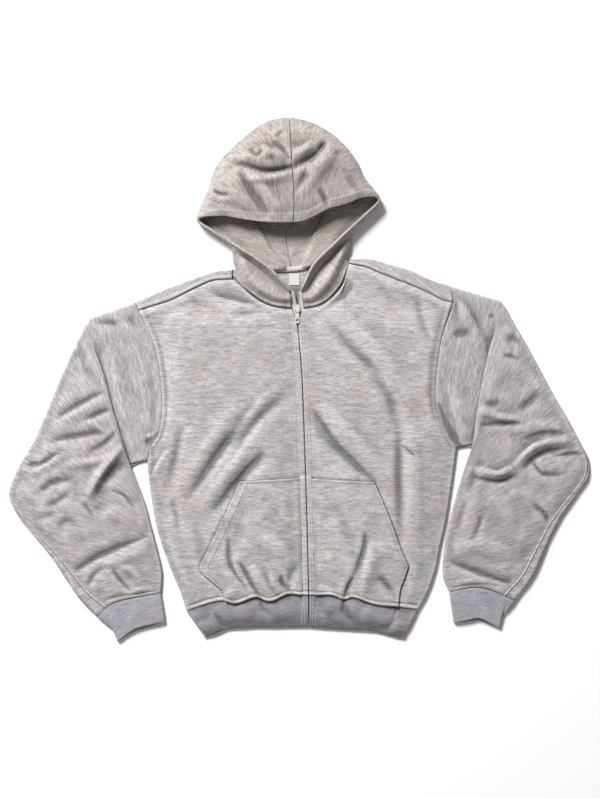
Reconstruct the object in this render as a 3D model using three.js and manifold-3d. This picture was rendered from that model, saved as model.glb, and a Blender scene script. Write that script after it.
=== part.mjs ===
// A zip up hoodie laid flat on its back, with its hood opened out above it.
// Millimetres. +X to the wearer's left, +Y towards the hood, +Z up from the surface it lies on.
import * as THREE from "three";
import Module from "manifold-3d";

const wasm = await Module();
wasm.setup();

// From the outlines' own origin to the middle of the laid out garment
const centre = { x: 3, y: 1.55 };

// Cloth and trim
const fleece = 2; // loopback fleece wall
const rib = 2.4; // rib knit wall
const trim = 1; // tape and label
const seam = 0.3; // space between two pieces at a seam
const edgeSpace = 0.5; // half the space on a rounded edge, where the two walls lean together
const ribPitch = 5.6;
const ribRise = 0.5;

// Levels of the middle of each layer above the surface
const backLevel = fleece / 2;
const bandBackLevel = rib / 2;
const frontLevel = 6.4;
const seamLevel = 6.5; // neck and shoulder seams on the upper layer
const armholeLevel = 5.6;
const bandLevel = 5.8;
const zipClear = 4.9; // lowest a front may lie over the zip tape
const tapeLevel = 3;
const pocketLift = fleece + 0.6;

// The wedge tuck that turns each sleeve down: its three layers and how far it reaches in
const tuck = { low: 4.3, high: 9.9, bend: 1.4, depth: 17, inset: 10 };

const grey = { color: 0xc9c0c6, roughness: 0.95, metalness: 0 };
const ribGrey = { color: 0xbcb3bd, roughness: 0.95, metalness: 0 };
const white = { color: 0xe9e7e4, roughness: 0.6, metalness: 0.1 };

// Rows with named columns
function table(columns, rows) {
  const names = columns.split(" ");
  return rows.map((row) => Object.fromEntries(names.map((name, k) => [name, row[k]])));
}

// Outlines, x y along each seam, the wearer's right first (-X), from the hem up
const outline = {
  right: {
    side: [[-193, -394], [-203, -363], [-220, -322], [-235, -281], [-246, -241], [-258, -159], [-259, -137]],
    armhole: [[-259, -137], [-256, -120], [-244, -101], [-237, -74], [-235, -37], [-247, 52], [-275, 116]],
    shoulder: [[-275, 116], [-247, 125], [-222, 133], [-171, 158], [-149, 167], [-116, 169]],
    fold: [[-280, 129], [-254, 140], [-222, 154], [-186, 167], [-147, 180], [-116, 184]],
    neck: [[-116, 169], [-103, 159], [-86, 143], [-65, 129], [-43, 121.5], [-15.5, 118]],
    zip: [[13.4, -368], [11.4, -273], [5.4, -77], [1.4, 13], [-1.6, 50], [-4.4, 80], [-8, 101], [-15.5, 118]],
    hem: [[13.4, -368], [-21, -366], [-52, -378], [-76, -371], [-110, -382], [-133, -377], [-193, -394]],
    bandEnd: [[13.4, -422], [-86, -423], [-123, -426], [-149, -435], [-161, -439]],
    pocketInner: [[4, -368], [2, -273], [-1, -169]],
    pocketTop: [[-1, -169], [-69, -173], [-103, -175]],
    pocketOuter: [[-128, -377.5], [-133, -360], [-150, -344], [-166, -331]],
    pocketSlant: [[-166, -331], [-171, -319], [-162, -300], [-123, -220], [-103, -175]],
  },
  left: {
    side: [[199, -392], [215, -363], [229, -322], [237, -281], [246, -241], [259, -156], [264, -117]],
    armhole: [[264, -117], [252, -99], [239, -77], [231, -50], [229, -16], [239, 65], [258, 129]],
    shoulder: [[258, 129], [239, 135], [212, 149], [144, 176], [110, 190], [82, 196]],
    fold: [[254, 156], [220, 167], [190, 181], [144, 195], [115, 202], [84, 202]],
    neck: [[82, 196], [79, 176], [71, 157], [55, 139], [37, 126], [4.5, 118]],
    zip: [[14.6, -368], [12.6, -273], [6.6, -77], [2.6, 13], [-0.4, 50], [-3.2, 80], [-1, 101], [4.5, 118]],
    hem: [[14.6, -368], [54, -368], [74, -375], [88, -371], [125, -383], [161, -387], [199, -392]],
    bandEnd: [[14.6, -422], [67, -426], [122, -429], [149, -436], [174, -441]],
    pocketInner: [[24, -368], [22, -273], [19, -170]],
    pocketTop: [[19, -170], [67, -173], [125, -176]],
    pocketOuter: [[166, -388], [169, -360], [176, -339], [183, -319]],
    pocketSlant: [[183, -319], [169, -286], [156, -249], [139, -207], [125, -176]],
  },
};
const napeX = -15;
const napeY = 185;
const backHem = [[-193, -394], [-100, -386], [14, -382], [110, -386], [199, -392]];
const bandBackEnd = [[-161, -439], [14, -430], [174, -441]];

// Soft folds: a ridge or trough from 0 through 1 to 2
const foldColumns = "x0 y0 x1 y1 x2 y2 width height";
const folds = {
  right: table(foldColumns, [
    [-62, -20, -115, -80, -192, -182, 15, -2.4],
    [-90, -10, -140, -70, -205, -150, 18, 3],
    [-59, -118, -110, -172, -162, -241, 12, -2.4],
    [-80, -85, -130, -135, -180, -205, 15, 3],
    [-40, -130, -95, -190, -140, -250, 16, 2],
    [-218, -180, -213, -220, -208, -270, 9, -1.4],
    [-250, -165, -240, -148, -229, -130, 8, 2.5],
    [-200, -355, -120, -352, -30, -345, 18, 3],
  ]),
  left: table(foldColumns, [
    [23, -58, 74, -117, 133, -168, 13, -2.6],
    [45, -45, 95, -103, 150, -150, 17, 3.5],
    [165, -105, 168, -190, 172, -300, 15, -2.2],
    [190, -120, 197, -200, 203, -300, 15, 2.4],
    [174, -113, 184, -119, 195, -130, 6, -1.5],
    [215, 60, 190, -20, 205, -90, 16, 1.6],
    [40, -345, 120, -352, 190, -355, 18, 3],
  ]),
  pocketRight: table(foldColumns, [
    [-120, -266, -118, -318, -98, -352, 9, -1.6],
    [-110, -300, -88, -338, -72, -370, 8, 3],
    [-40, -240, -52, -300, -30, -340, 20, 2],
  ]),
  pocketLeft: table(foldColumns, [
    [105, -283, 93, -334, 76, -372, 9, -1.6],
    [125, -285, 112, -334, 96, -365, 9, 3],
    [60, -230, 62, -290, 50, -345, 20, 2],
  ]),
  sleeveRight: table(foldColumns, [
    [-332, -20, -378, -48, -409, -71, 8, -2],
    [-330, -38, -370, -64, -400, -86, 10, 3],
    [-303, -125, -344, -173, -358, -201, 12, 5.5],
    [-300, -158, -330, -190, -345, -215, 8, -2],
    [-310, -91, -361, -120, -409, -139, 8, -2.2],
    [-410, -120, -440, -130, -465, -150, 9, 2.5],
    [-273, -275, -332, -303, -371, -322, 8, -2.4],
    [-256, -282, -324, -317, -361, -334, 10, 4],
    [-320, -331, -307, -343, -293, -356, 7, 2.5],
  ]),
  sleeveLeft: table(foldColumns, [
    [302, -57, 339, -64, 373, -71, 9, 3.5],
    [305, -77, 340, -80, 373, -77, 7, -2],
    [450, -113, 390, -135, 348, -167, 9, -2.4],
    [450, -91, 416, -105, 356, -142, 11, 4.5],
    [348, -167, 328, -172, 300, -167, 8, -2],
    [258, -310, 314, -331, 370, -351, 8, -2.4],
    [256, -330, 310, -348, 350, -362, 9, 3],
    [430, -150, 400, -175, 370, -190, 12, 3],
  ]),
  hoodRight: table(foldColumns, [
    [-106, 363, -66, 346, -15, 360, 8, -6],
    [-94, 375, -55, 368, -10, 372, 9, 4],
    [-96, 350, -72, 300, -55, 275, 12, -4],
    [-152, 320, -135, 314, -122, 308, 8, -4],
  ]),
  hoodLeft: table(foldColumns, [
    [-15, 360, 15, 372, 34, 400, 8, -6],
    [-10, 372, 18, 384, 46, 410, 9, 4],
    [8, 346, -5, 312, -12, 280, 12, -3],
  ]),
};

// Sleeve sections from the tuck's edge to the cuff: outer and inner edge, level of the upper
// layer, and how far in from the outer edge the seam between the two panels lies on it
const sleeveColumns = "outerX outerY innerX innerY level seamIn";
const sleeves = {
  right: {
    edge: [[-360, 96], [-349, 48], [-332, -4], [-319, -54], [-303, -105], [-290, -150]],
    sections: table(sleeveColumns, [
      [-360, 96, -290, -150, 6.6, 0],
      [-380, 60, -284, -162, 7, 0],
      [-399, 18, -276, -183, 7.2, 0],
      [-423, -37, -269, -201, 7, 0],
      [-448, -99, -262, -222, 6.8, 0],
      [-478, -150, -257, -242, 6.6, 0],
      [-494, -203, -251, -264, 6.5, 0],
      [-473, -241, -246, -283, 6.5, 6],
      [-439, -281, -241, -303, 6.5, 11],
      [-409, -322, -236, -326, 6.5, 15],
      [-383, -363, -236, -344, 6.5, 18],
      [-344, -405, -238, -364, 6.4, 20],
    ]),
    cuffTop: [[-344, -405], [-327, -387], [-307, -378], [-273, -371], [-238, -364]],
    cuffEnd: [[-310, -446], [-298, -439], [-281, -430], [-256, -422], [-230, -413]],
  },
  left: {
    edge: [[343, 125], [334, 91], [324, 57], [309, -11], [299, -67], [293, -116]],
    sections: table(sleeveColumns, [
      [343, 125, 293, -116, 6.6, 0],
      [361, 94, 286, -133, 7, 0],
      [385, 52, 280, -150, 7.2, 0],
      [409, 8, 274, -169, 7, 0],
      [433, -37, 268, -188, 6.8, 0],
      [460, -82, 263, -207, 6.7, 0],
      [480, -124, 258, -225, 6.6, 0],
      [492, -152, 253, -246, 6.5, 4],
      [475, -186, 249, -266, 6.5, 9],
      [446, -227, 245, -290, 6.5, 13],
      [422, -275, 242, -314, 6.5, 16],
      [397, -332, 243, -339, 6.5, 18],
      [364, -378, 253, -362, 6.4, 19],
    ]),
    cuffTop: [[364, -378], [339, -366], [314, -357], [293, -355], [253, -362]],
    cuffEnd: [[338, -424], [319, -417], [302, -411], [288, -413], [261, -415]],
  },
};

// Hood halves: a row for each line from the face edge over the outside to the neck or centre seam
const hoodColumns =
  "faceX faceY faceZ dipX dipY dipZ rollX rollY rollZ foldX foldY foldZ seamX seamY seamZ";
const hoodRows = {
  right: table(hoodColumns, [
    [-17, 150, 13, -16.5, 142, 10.5, -16, 134, 9, -16, 127, 7.5, -15, 119, 6.5],
    [-33, 168, 20, -37, 157, 10, -43, 139, 13, -47, 131, 9, -49, 124.5, 6.5],
    [-52, 188, 24, -59, 176, 10, -71, 156, 16, -79, 150, 10, -85, 145.5, 6.5],
    [-72, 202, 26, -81, 195, 11, -89, 183, 16, -101, 174, 11, -108, 167, 6.5],
    [-82, 209, 26, -89, 203, 12, -96, 195, 15, -108, 187, 8, -114, 178, 4.6],
    [-94, 216, 26, -99, 210, 13, -105, 203, 14, -113, 196, 5.5, -92, 185.2, 1],
    [-116, 230, 25, -118, 229, 18, -119, 226, 11, -117, 223, 5, -15.3, 186, 1],
    [-147, 249, 23, -149, 250, 17, -150, 251, 11, -149, 252, 5, -24, 227, 1],
    [-173, 268, 22, -173, 269, 17, -174, 269, 11, -173, 270, 5, -27, 261, 1],
    [-128, 274, 30, -142, 285, 31, -157, 293, 20, -166, 298, 5, -25, 295, 1],
    [-103, 269, 34, -115, 292, 37, -140, 319, 26, -156, 320, 5, -23, 329, 1],
    [-72, 264, 36, -86, 295, 40, -116, 346, 30, -142, 360, 5, -21, 375, 1],
    [-42, 262, 37, -47, 298, 41, -65, 375, 32, -93, 411, 5, -20, 408, 1],
    [-28, 262, 37.5, -29, 298, 41, -40, 380, 33, -55, 436, 5, -19.3, 421, 1],
    [-13, 262, 38, -11, 298, 41, -15, 371, 33, -19, 443, 5, -18.5, 431, 1],
  ]),
  left: table(hoodColumns, [
    [0, 150, 13, 2, 142, 10.5, 3, 134, 9, 4, 127, 7.5, 5, 119, 6.5],
    [8, 167, 20, 13, 157, 10, 21, 140, 13, 26, 131, 9, 29.5, 124.5, 6.5],
    [21, 193, 24, 31, 183, 10, 45, 166, 16, 53, 155, 10, 59, 146.5, 6.5],
    [42, 215, 26, 52, 207, 11, 62, 196, 15, 70, 187, 10, 76.5, 180, 6.5],
    [54, 226, 26, 62, 218, 12, 69, 210, 14, 76, 204, 8, 80.5, 197, 4.6],
    [67, 239, 26, 74, 234, 14, 79, 227, 12, 84, 217, 5, 64, 199.6, 1],
    [82, 253, 25, 85, 251, 18, 86, 247, 11, 86, 242, 5, -14.5, 186, 1],
    [106, 275, 23, 108, 274, 17, 108, 272, 11, 106, 271, 5, -23, 227, 1],
    [133, 303, 22, 133, 302, 17, 133, 301, 11, 132, 300, 5, -26, 261, 1],
    [105, 305, 30, 111, 315, 31, 120, 321, 20, 124, 320, 5, -24, 295, 1],
    [76, 293, 34, 82, 314, 36, 96, 337, 25, 106, 343, 5, -22, 329, 1],
    [50, 286, 36, 55, 314, 39, 72, 358, 30, 94, 370, 5, -20, 375, 1],
    [20, 271, 37, 25, 309, 41, 37, 380, 32, 64, 406, 5, -19, 408, 1],
    [3, 264, 37.5, 6, 302, 41, 9, 383, 33, 21, 433, 5, -18.3, 421, 1],
    [-12.4, 262, 38, -10.4, 298, 41, -14.4, 371, 33, -18.4, 443, 5, -17.9, 431, 1],
  ]),
};

// Zip: the two front edges meet on this line up to the open V at the neck
const zipLine = [[14, -420], [14, -368], [12, -273], [6, -77], [2, 13], [-3.6, 80]];
const tapeWidth = 9;
const slider = { x: -5.5, y: 119, width: 9, length: 13, base: 3.7, top: 7.3 };
const pull = { width: 8, length: 22, thick: 1.4, barrel: 1.3, hole: 1.7, lift: 8.9 };
const ear = { thick: 1.1, rise: 2.4 };
const label = { x: -10.5, y: 168.5, width: 17, length: 20 };

const point = (x, y, z = 0) => new THREE.Vector3(x, y, z);
const mix = (a, b, t) => a + (b - a) * t;
const clamp = (t) => Math.min(1, Math.max(0, t));
const ease = (a, b, t) => {
  const s = clamp((t - a) / (b - a));
  return s * s * (3 - 2 * s);
};
const steps = (n) => Array.from({ length: n + 1 }, (_, k) => k / n);

// A line that runs smoothly through each part and may turn sharply where two parts join
function line(...parts) {
  const points = [];
  for (const part of parts) {
    const run = new THREE.CatmullRomCurve3(
      part.map(([x, y, z = 0]) => point(x, y, z)), false, "centripetal");
    const list = run.getPoints(10 * part.length);
    points.push(...(points.length ? list.slice(1) : list));
  }
  return polyline(points);
}

// Straight from point to point, measured along its length
function polyline(points) {
  const along = [0];
  for (let k = 1; k < points.length; k++) along.push(along[k - 1] + points[k].distanceTo(points[k - 1]));
  const length = along[along.length - 1];
  const at = (s) => {
    const goal = clamp(s) * length;
    let k = 1;
    while (k < along.length - 1 && along[k] < goal) k++;
    return points[k - 1].clone().lerp(points[k], (goal - along[k - 1]) / (along[k] - along[k - 1]));
  };
  return { length, at };
}

// Straight from point to point, each stretch with the same share
function stepped(points) {
  const getPoint = (share) => {
    const k = Math.min(points.length - 2, Math.floor(share * (points.length - 1)));
    return points[k].clone().lerp(points[k + 1], share * (points.length - 1) - k);
  };
  return { getPoint };
}

// The patch between four lines: bottom and top run with u, start and end run with v
function patch(bottom, top, start, end) {
  const corner = [bottom.at(0), bottom.at(1), top.at(0), top.at(1)];
  return (u, v) => {
    const across = bottom.at(u).lerp(top.at(u), v);
    const up = start.at(v).lerp(end.at(v), u);
    const low = corner[0].clone().lerp(corner[1], u);
    const high = corner[2].clone().lerp(corner[3], u);
    return across.add(up).sub(low.lerp(high, v));
  };
}

// Even steps that also land on the given marks
function stepsThrough(count, ...marks) {
  const stops = [0, ...marks, 1];
  const list = [0];
  for (let k = 1; k < stops.length; k++) {
    const cells = Math.max(1, Math.round(count * (stops[k] - stops[k - 1])));
    for (let c = 1; c <= cells; c++) list.push(mix(stops[k - 1], stops[k], c / cells));
  }
  return list;
}

function foldHeight(list, x, y) {
  let height = 0;
  for (const f of list) {
    let best = Infinity;
    let along = 0;
    const ends = [[f.x0, f.y0, f.x1, f.y1, 0], [f.x1, f.y1, f.x2, f.y2, 0.5]];
    for (const [ax, ay, bx, by, start] of ends) {
      const dx = bx - ax;
      const dy = by - ay;
      const t = clamp(((x - ax) * dx + (y - ay) * dy) / (dx * dx + dy * dy));
      const gap = Math.hypot(x - ax - t * dx, y - ay - t * dy);
      if (gap < best) {
        best = gap;
        along = start + t / 2;
      }
    }
    height += f.height * (0.3 + 0.7 * Math.sin(Math.PI * along)) * Math.exp(-((best / f.width) ** 2));
  }
  return height;
}

// A cloth wall on a grid of middle points. A cell is left out where active says so; the grid may
// close on itself in its first direction; raise lifts the outer face alone
function cloth(points, thick, { active = () => true, closed = false, raise = () => 0 } = {}) {
  const ni = points.length;
  const nj = points[0].length;
  const cellsI = closed ? ni : ni - 1;
  const wrap = (i) => (closed ? (i + ni) % ni : Math.min(ni - 1, Math.max(0, i)));
  const hold = (j) => Math.min(nj - 1, Math.max(0, j));
  const used = (i, j) => {
    if (j < 0 || j >= nj - 1) return false;
    if (!closed && (i < 0 || i >= cellsI)) return false;
    return active(closed ? (i + ni) % ni : i, j);
  };
  const step = (i, j, di, dj) => {
    const cellA = di ? used(i, j) || used(i, j - 1) : used(i, j) || used(i - 1, j);
    const cellB = di ? used(i - 1, j) || used(i - 1, j - 1) : used(i, j - 1) || used(i - 1, j - 1);
    const ahead = cellA ? points[wrap(i + di)][hold(j + dj)] : points[i][j];
    const behind = cellB ? points[wrap(i - di)][hold(j - dj)] : points[i][j];
    return ahead.clone().sub(behind);
  };
  const outerFace = [];
  const innerFace = [];
  for (let i = 0; i < ni; i++) {
    for (let j = 0; j < nj; j++) {
      const normal = step(i, j, 1, 0).cross(step(i, j, 0, 1)).normalize();
      const outer = points[i][j].clone().addScaledVector(normal, thick / 2 + raise(i, j));
      const inner = points[i][j].clone().addScaledVector(normal, -thick / 2);
      outer.z = Math.max(outer.z, 0);
      inner.z = Math.max(inner.z, 0);
      outerFace.push(...outer.toArray());
      innerFace.push(...inner.toArray());
    }
  }
  const corners = outerFace.concat(innerFace);
  const top = (i, j) => wrap(i) * nj + j;
  const under = (i, j) => ni * nj + wrap(i) * nj + j;
  const faces = [];
  for (let i = 0; i < cellsI; i++) {
    for (let j = 0; j < nj - 1; j++) {
      if (!used(i, j)) continue;
      const ring = [[i, j], [i + 1, j], [i + 1, j + 1], [i, j + 1]];
      const t = ring.map(([a, b]) => top(a, b));
      const u = ring.map(([a, b]) => under(a, b));
      faces.push(t[0], t[1], t[2], t[0], t[2], t[3]);
      faces.push(u[0], u[2], u[1], u[0], u[3], u[2]);
      const beyond = [used(i, j - 1), used(i + 1, j), used(i, j + 1), used(i - 1, j)];
      beyond.forEach((covered, k) => {
        if (covered) return;
        const n = (k + 1) % 4;
        faces.push(t[k], u[k], u[n], t[k], u[n], t[n]);
      });
    }
  }
  const geometry = new THREE.BufferGeometry();
  geometry.setAttribute("position", new THREE.Float32BufferAttribute(corners, 3));
  geometry.setIndex(faces);
  return geometry;
}

const hoodie = new THREE.Group();
function add(name, geometry, finish) {
  const mesh = new THREE.Mesh(geometry, new THREE.MeshStandardMaterial(finish));
  mesh.name = name;
  hoodie.add(mesh);
}

// How a rounded edge runs: distance in from the edge and share of the rise, 0 at mid height
const edgeTurn = [0, 30, 60, 90].map((degrees) => {
  const turn = THREE.MathUtils.degToRad(degrees);
  return { inward: 1 - Math.cos(turn), rise: Math.sin(turn) };
});

// The level of a front away from its edges
function frontTop(side, x, y) {
  const lift = frontLevel + foldHeight(folds[side], x, y);
  const underPocket = ease(-160, -190, y) * ease(190, 175, Math.abs(x));
  return mix(Math.max(zipClear - 0.6, lift), Math.min(lift, frontLevel), underPocket);
}

function front(side) {
  const cut = outline[side];
  const hem = line(cut.hem);
  const outer = line(cut.side, cut.armhole);
  const top = line(cut.neck.slice().reverse(), cut.shoulder.slice().reverse());
  const zip = line(cut.zip);
  const area = patch(hem, top, zip, outer);
  const neckMark = line(cut.neck).length / top.length;
  const underarm = line(cut.side).length / outer.length;
  const rise = (frontLevel - backLevel) / 2;
  const middle = (frontLevel + backLevel) / 2;
  const us = stepsThrough(12, neckMark);
  const vs = stepsThrough(21, underarm);
  vs[vs.length - 1] -= seam / 2 / zip.length;
  const main = us.slice(0, -1);
  return main.concat(edgeTurn.slice().reverse()).map((column) =>
    vs.map((v) => {
      const wide = zip.at(v).distanceTo(outer.at(v));
      const onSide = 1 - ease(underarm - 0.03, underarm + 0.01, v);
      const turn = typeof column === "number" ? null : column;
      const inward = turn ? Math.max(seam / 2, turn.inward * rise) : rise;
      const last = 1 - inward / wide;
      const u = turn ? last : Math.min(column, 1 - (2.2 * rise) / wide);
      const p = area(u, v);
      let z = frontTop(side, p.x, p.y);
      const nearZip = p.distanceTo(zip.at(v));
      z = mix(Math.max(z, zipClear), z, ease(10, 22, nearZip));
      z = mix(z, seamLevel, ease(0.93, 1, v));
      z = mix(z, frontLevel - 0.4, ease(0.045, 0, v));
      const outerLevel = mix(armholeLevel, frontLevel, onSide);
      z = mix(z, mix(outerLevel, seamLevel, ease(0.93, 1, v)), ease(0.93, 1, u));
      if (turn) z = mix(z, middle + seam / 2 + rise * turn.rise, onSide);
      return p.setZ(z);
    }));
}

function back() {
  const { right, left } = outline;
  const start = line(right.side, right.armhole.concat([[-280, 129]]));
  const end = line(left.side, left.armhole.concat([[254, 156]]));
  const nape = [napeX, napeY];
  const top = line(right.fold, [[-116, 184], nape], [nape, [84, 202]], left.fold.slice().reverse());
  const area = patch(line(backHem), top, start, end);
  const foldLength = { right: line(right.fold).length, left: line(left.fold).length };
  const marks = [foldLength.right / top.length, 1 - foldLength.left / top.length];
  const underarm = line(right.side).length / start.length;
  const rise = (seamLevel - backLevel) / 2;
  const middle = (seamLevel + backLevel) / 2;
  const sideRise = (frontLevel - backLevel) / 2;
  const inner = stepsThrough(9, ...marks).slice(1, -1);
  const turns = edgeTurn.slice().reverse();
  const columns = [
    ...edgeTurn.map((turn) => ({ turn, far: false })),
    ...inner.map((u) => ({ u })),
    ...turns.map((turn) => ({ turn, far: true })),
  ];
  const rows = [
    ...steps(5).map((share) => ({ v: share * underarm })),
    ...steps(9).slice(1, -1).map((share) => ({ v: mix(underarm, 1, share) })),
    ...turns.map((turn) => ({ turn, over: false })),
    ...edgeTurn.slice(1).map((turn) => ({ turn, over: true })),
    { wrap: 0.55 }, { wrap: 1 },
  ];
  const overlay = 18; // usual reach of the back from its fold forward to the shoulder seam
  const isShoulder = (u) => u < marks[0] + 1e-6 || u > marks[1] - 1e-6;
  const neckIndex = marks.map((mark) =>
    columns.findIndex(({ u }) => u !== undefined && Math.abs(u - mark) < 1e-6));
  const seamLine = {
    right: line(right.shoulder),
    left: line(left.shoulder),
  };
  const overPoint = (u, share, foldPoint) => {
    const onRight = u < 0.5;
    const t = onRight ? u / marks[0] : (1 - u) / (1 - marks[1]);
    const target = (onRight ? seamLine.right : seamLine.left).at(t);
    const reach = target.distanceTo(foldPoint);
    return foldPoint.clone().lerp(target, Math.min(share * (reach - seam / 2), reach - seam / 2) / reach);
  };
  const points = columns.map(({ u: given, turn: side, far }) =>
    rows.map(({ v: givenV, turn, over, wrap }) => {
      let v = givenV ?? 1;
      const wide = start.at(v).distanceTo(end.at(v));
      let u = given;
      if (side) u = Math.max(seam / 2, side.inward * sideRise) / wide;
      if (side && far) u = 1 - u;
      const tall = area(u, 0).distanceTo(area(u, 1));
      const shoulder = isShoulder(u);
      let z = backLevel;
      if (turn && !over) {
        v = 1 - (turn.inward * rise) / tall;
        if (shoulder) z = middle - rise * turn.rise;
      }
      let p = area(u, v);
      if (!shoulder && (turn || wrap)) p = area(u, Math.min(v, 1 - seam / tall));
      if (shoulder && over) {
        const foldPoint = area(u, 1);
        p = overPoint(u, (turn.inward * rise) / overlay, foldPoint);
        z = middle + rise * turn.rise;
      }
      if (shoulder && wrap) {
        p = overPoint(u, mix((1.2 * rise) / overlay, 1, wrap), area(u, 1));
        z = seamLevel;
      }
      const onSide = 1 - ease(underarm - 0.03, underarm + 0.01, v);
      if (side && !over && !wrap) {
        const curl = (frontLevel + backLevel) / 2 - seam / 2 - sideRise * side.rise;
        z = mix(z, Math.max(backLevel, curl), onSide);
      }
      return p.setZ(z);
    }));
  const lastFlat = rows.findIndex(({ over }) => over) - 1;
  const active = (i, j) => j < lastFlat || i < neckIndex[0] || i >= neckIndex[1];
  return { points, active };
}

function pocket(side) {
  const cut = outline[side];
  const bottomEnd = cut.pocketOuter[0];
  const hem = cut.hem.filter(([x]) =>
    side === "right" ? x < cut.pocketInner[0][0] && x > bottomEnd[0]
      : x > cut.pocketInner[0][0] && x < bottomEnd[0]);
  const bottom = line([cut.pocketInner[0], ...hem, bottomEnd]);
  const outer = line(cut.pocketOuter, cut.pocketSlant);
  const area = patch(bottom, line(cut.pocketTop), line(cut.pocketInner), outer);
  const corner = line(cut.pocketOuter).length / outer.length;
  const own = side === "right" ? folds.pocketRight : folds.pocketLeft;
  return steps(10).map((u) =>
    stepsThrough(14, corner).map((v) => {
      const p = area(u, v);
      const puff = 1.8 * Math.sin(Math.PI * u) * Math.sin(Math.PI * v) + Math.max(-1.4, foldHeight(own, p.x, p.y));
      const base = frontTop(side, p.x, p.y);
      return p.setZ(base + pocketLift + Math.max(0, puff));
    }));
}

// A sleeve's plan: station -1 is the armhole, 0 the tuck's edge, then the sections
function sleevePlan(side) {
  const { edge, sections } = sleeves[side];
  const tip = outline[side].fold[0];
  const armhole = line(outline[side].armhole.concat([tip]).reverse());
  const edgeLine = line(edge);
  const cuffLine = line(sleeves[side].cuffTop);
  const track = (x, y) => new THREE.CatmullRomCurve3(sections.map((s) => point(s[x], s[y])), false, "centripetal");
  const runs = { outer: track("outerX", "outerY"), inner: track("innerX", "innerY") };
  const last = sections.length - 1;
  const value = (name, s) => {
    const k = Math.min(last - 1, Math.floor(Math.max(0, s)));
    return mix(sections[k][name], sections[k + 1][name], Math.max(0, s) - k);
  };
  const at = (s, t) => {
    if (s < 0) return armhole.at(t).lerp(edgeLine.at(t), s + 1);
    const chord = (k) => runs.outer.getPoint(k / last).lerp(runs.inner.getPoint(k / last), t);
    const bow = edgeLine.at(t).sub(chord(0));
    const endBow = cuffLine.at(t).sub(chord(last));
    const p = chord(s).addScaledVector(bow, Math.max(0, 1 - s));
    return p.addScaledVector(endBow, Math.max(0, 1 - (last - s) / 2));
  };
  const outward = (t) => at(0.6, t).sub(at(0, t)).normalize();
  const flat = sections[0].level;
  const startLevel = (s) => (s < 0 ? flat : value("level", s));
  const endLevel = (s) =>
    s < 0 ? mix(tuck.low, armholeLevel, -s) : mix(tuck.high, value("level", s), ease(0.2, 2.6, s));
  return { at, outward, value, last, startLevel, endLevel };
}

const sleeveStations = 13;

// Half the space at the sleeve's long seam, wider where the seam is still on the rounded edge
const seamSpace = (seamIn) => seam / 2 + edgeSpace * ease(9, 4, seamIn);

// Depth of the tuck and its share of the full three layers, from none at the sleeve's top edge
const tuckShare = (t) => ease(0.08, 0.32, t);
const tuckDepth = (t) => (3 + tuck.depth * t) * tuckShare(t) * (1 - 0.75 * ease(0.75, 1, t));

// Places along a section, with more of them near its two rounded ends
function acrossSteps(length, from, to, cells) {
  const near = [0, 2, 4.5];
  const list = near.map((d) => from + d);
  const a = from + 9;
  const b = to - 9;
  for (let k = 0; k <= cells; k++) list.push(mix(a, b, k / cells));
  return list.concat(near.slice().reverse().map((d) => to - d));
}

// A point on a flattened tube's section: distance from the outer edge over the top, less than
// none round below; rise is half the height between the layers
function tubePoint(distance, length, rise) {
  const quarter = (Math.PI / 2) * rise;
  const d = Math.abs(distance);
  const full = length - 2 * rise + 2 * quarter;
  const sign = distance < 0 ? -1 : 1;
  if (d < quarter) return { along: rise * (1 - Math.cos(d / rise)), up: sign * rise * Math.sin(d / rise) };
  if (d > full - quarter) {
    const left = Math.max(0, full - d);
    return { along: length - rise * (1 - Math.cos(left / rise)), up: sign * rise * Math.sin(left / rise) };
  }
  return { along: rise + d - quarter, up: sign * rise };
}
const tubeLength = (length, rise) => length - 2 * rise + Math.PI * rise;

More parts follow.
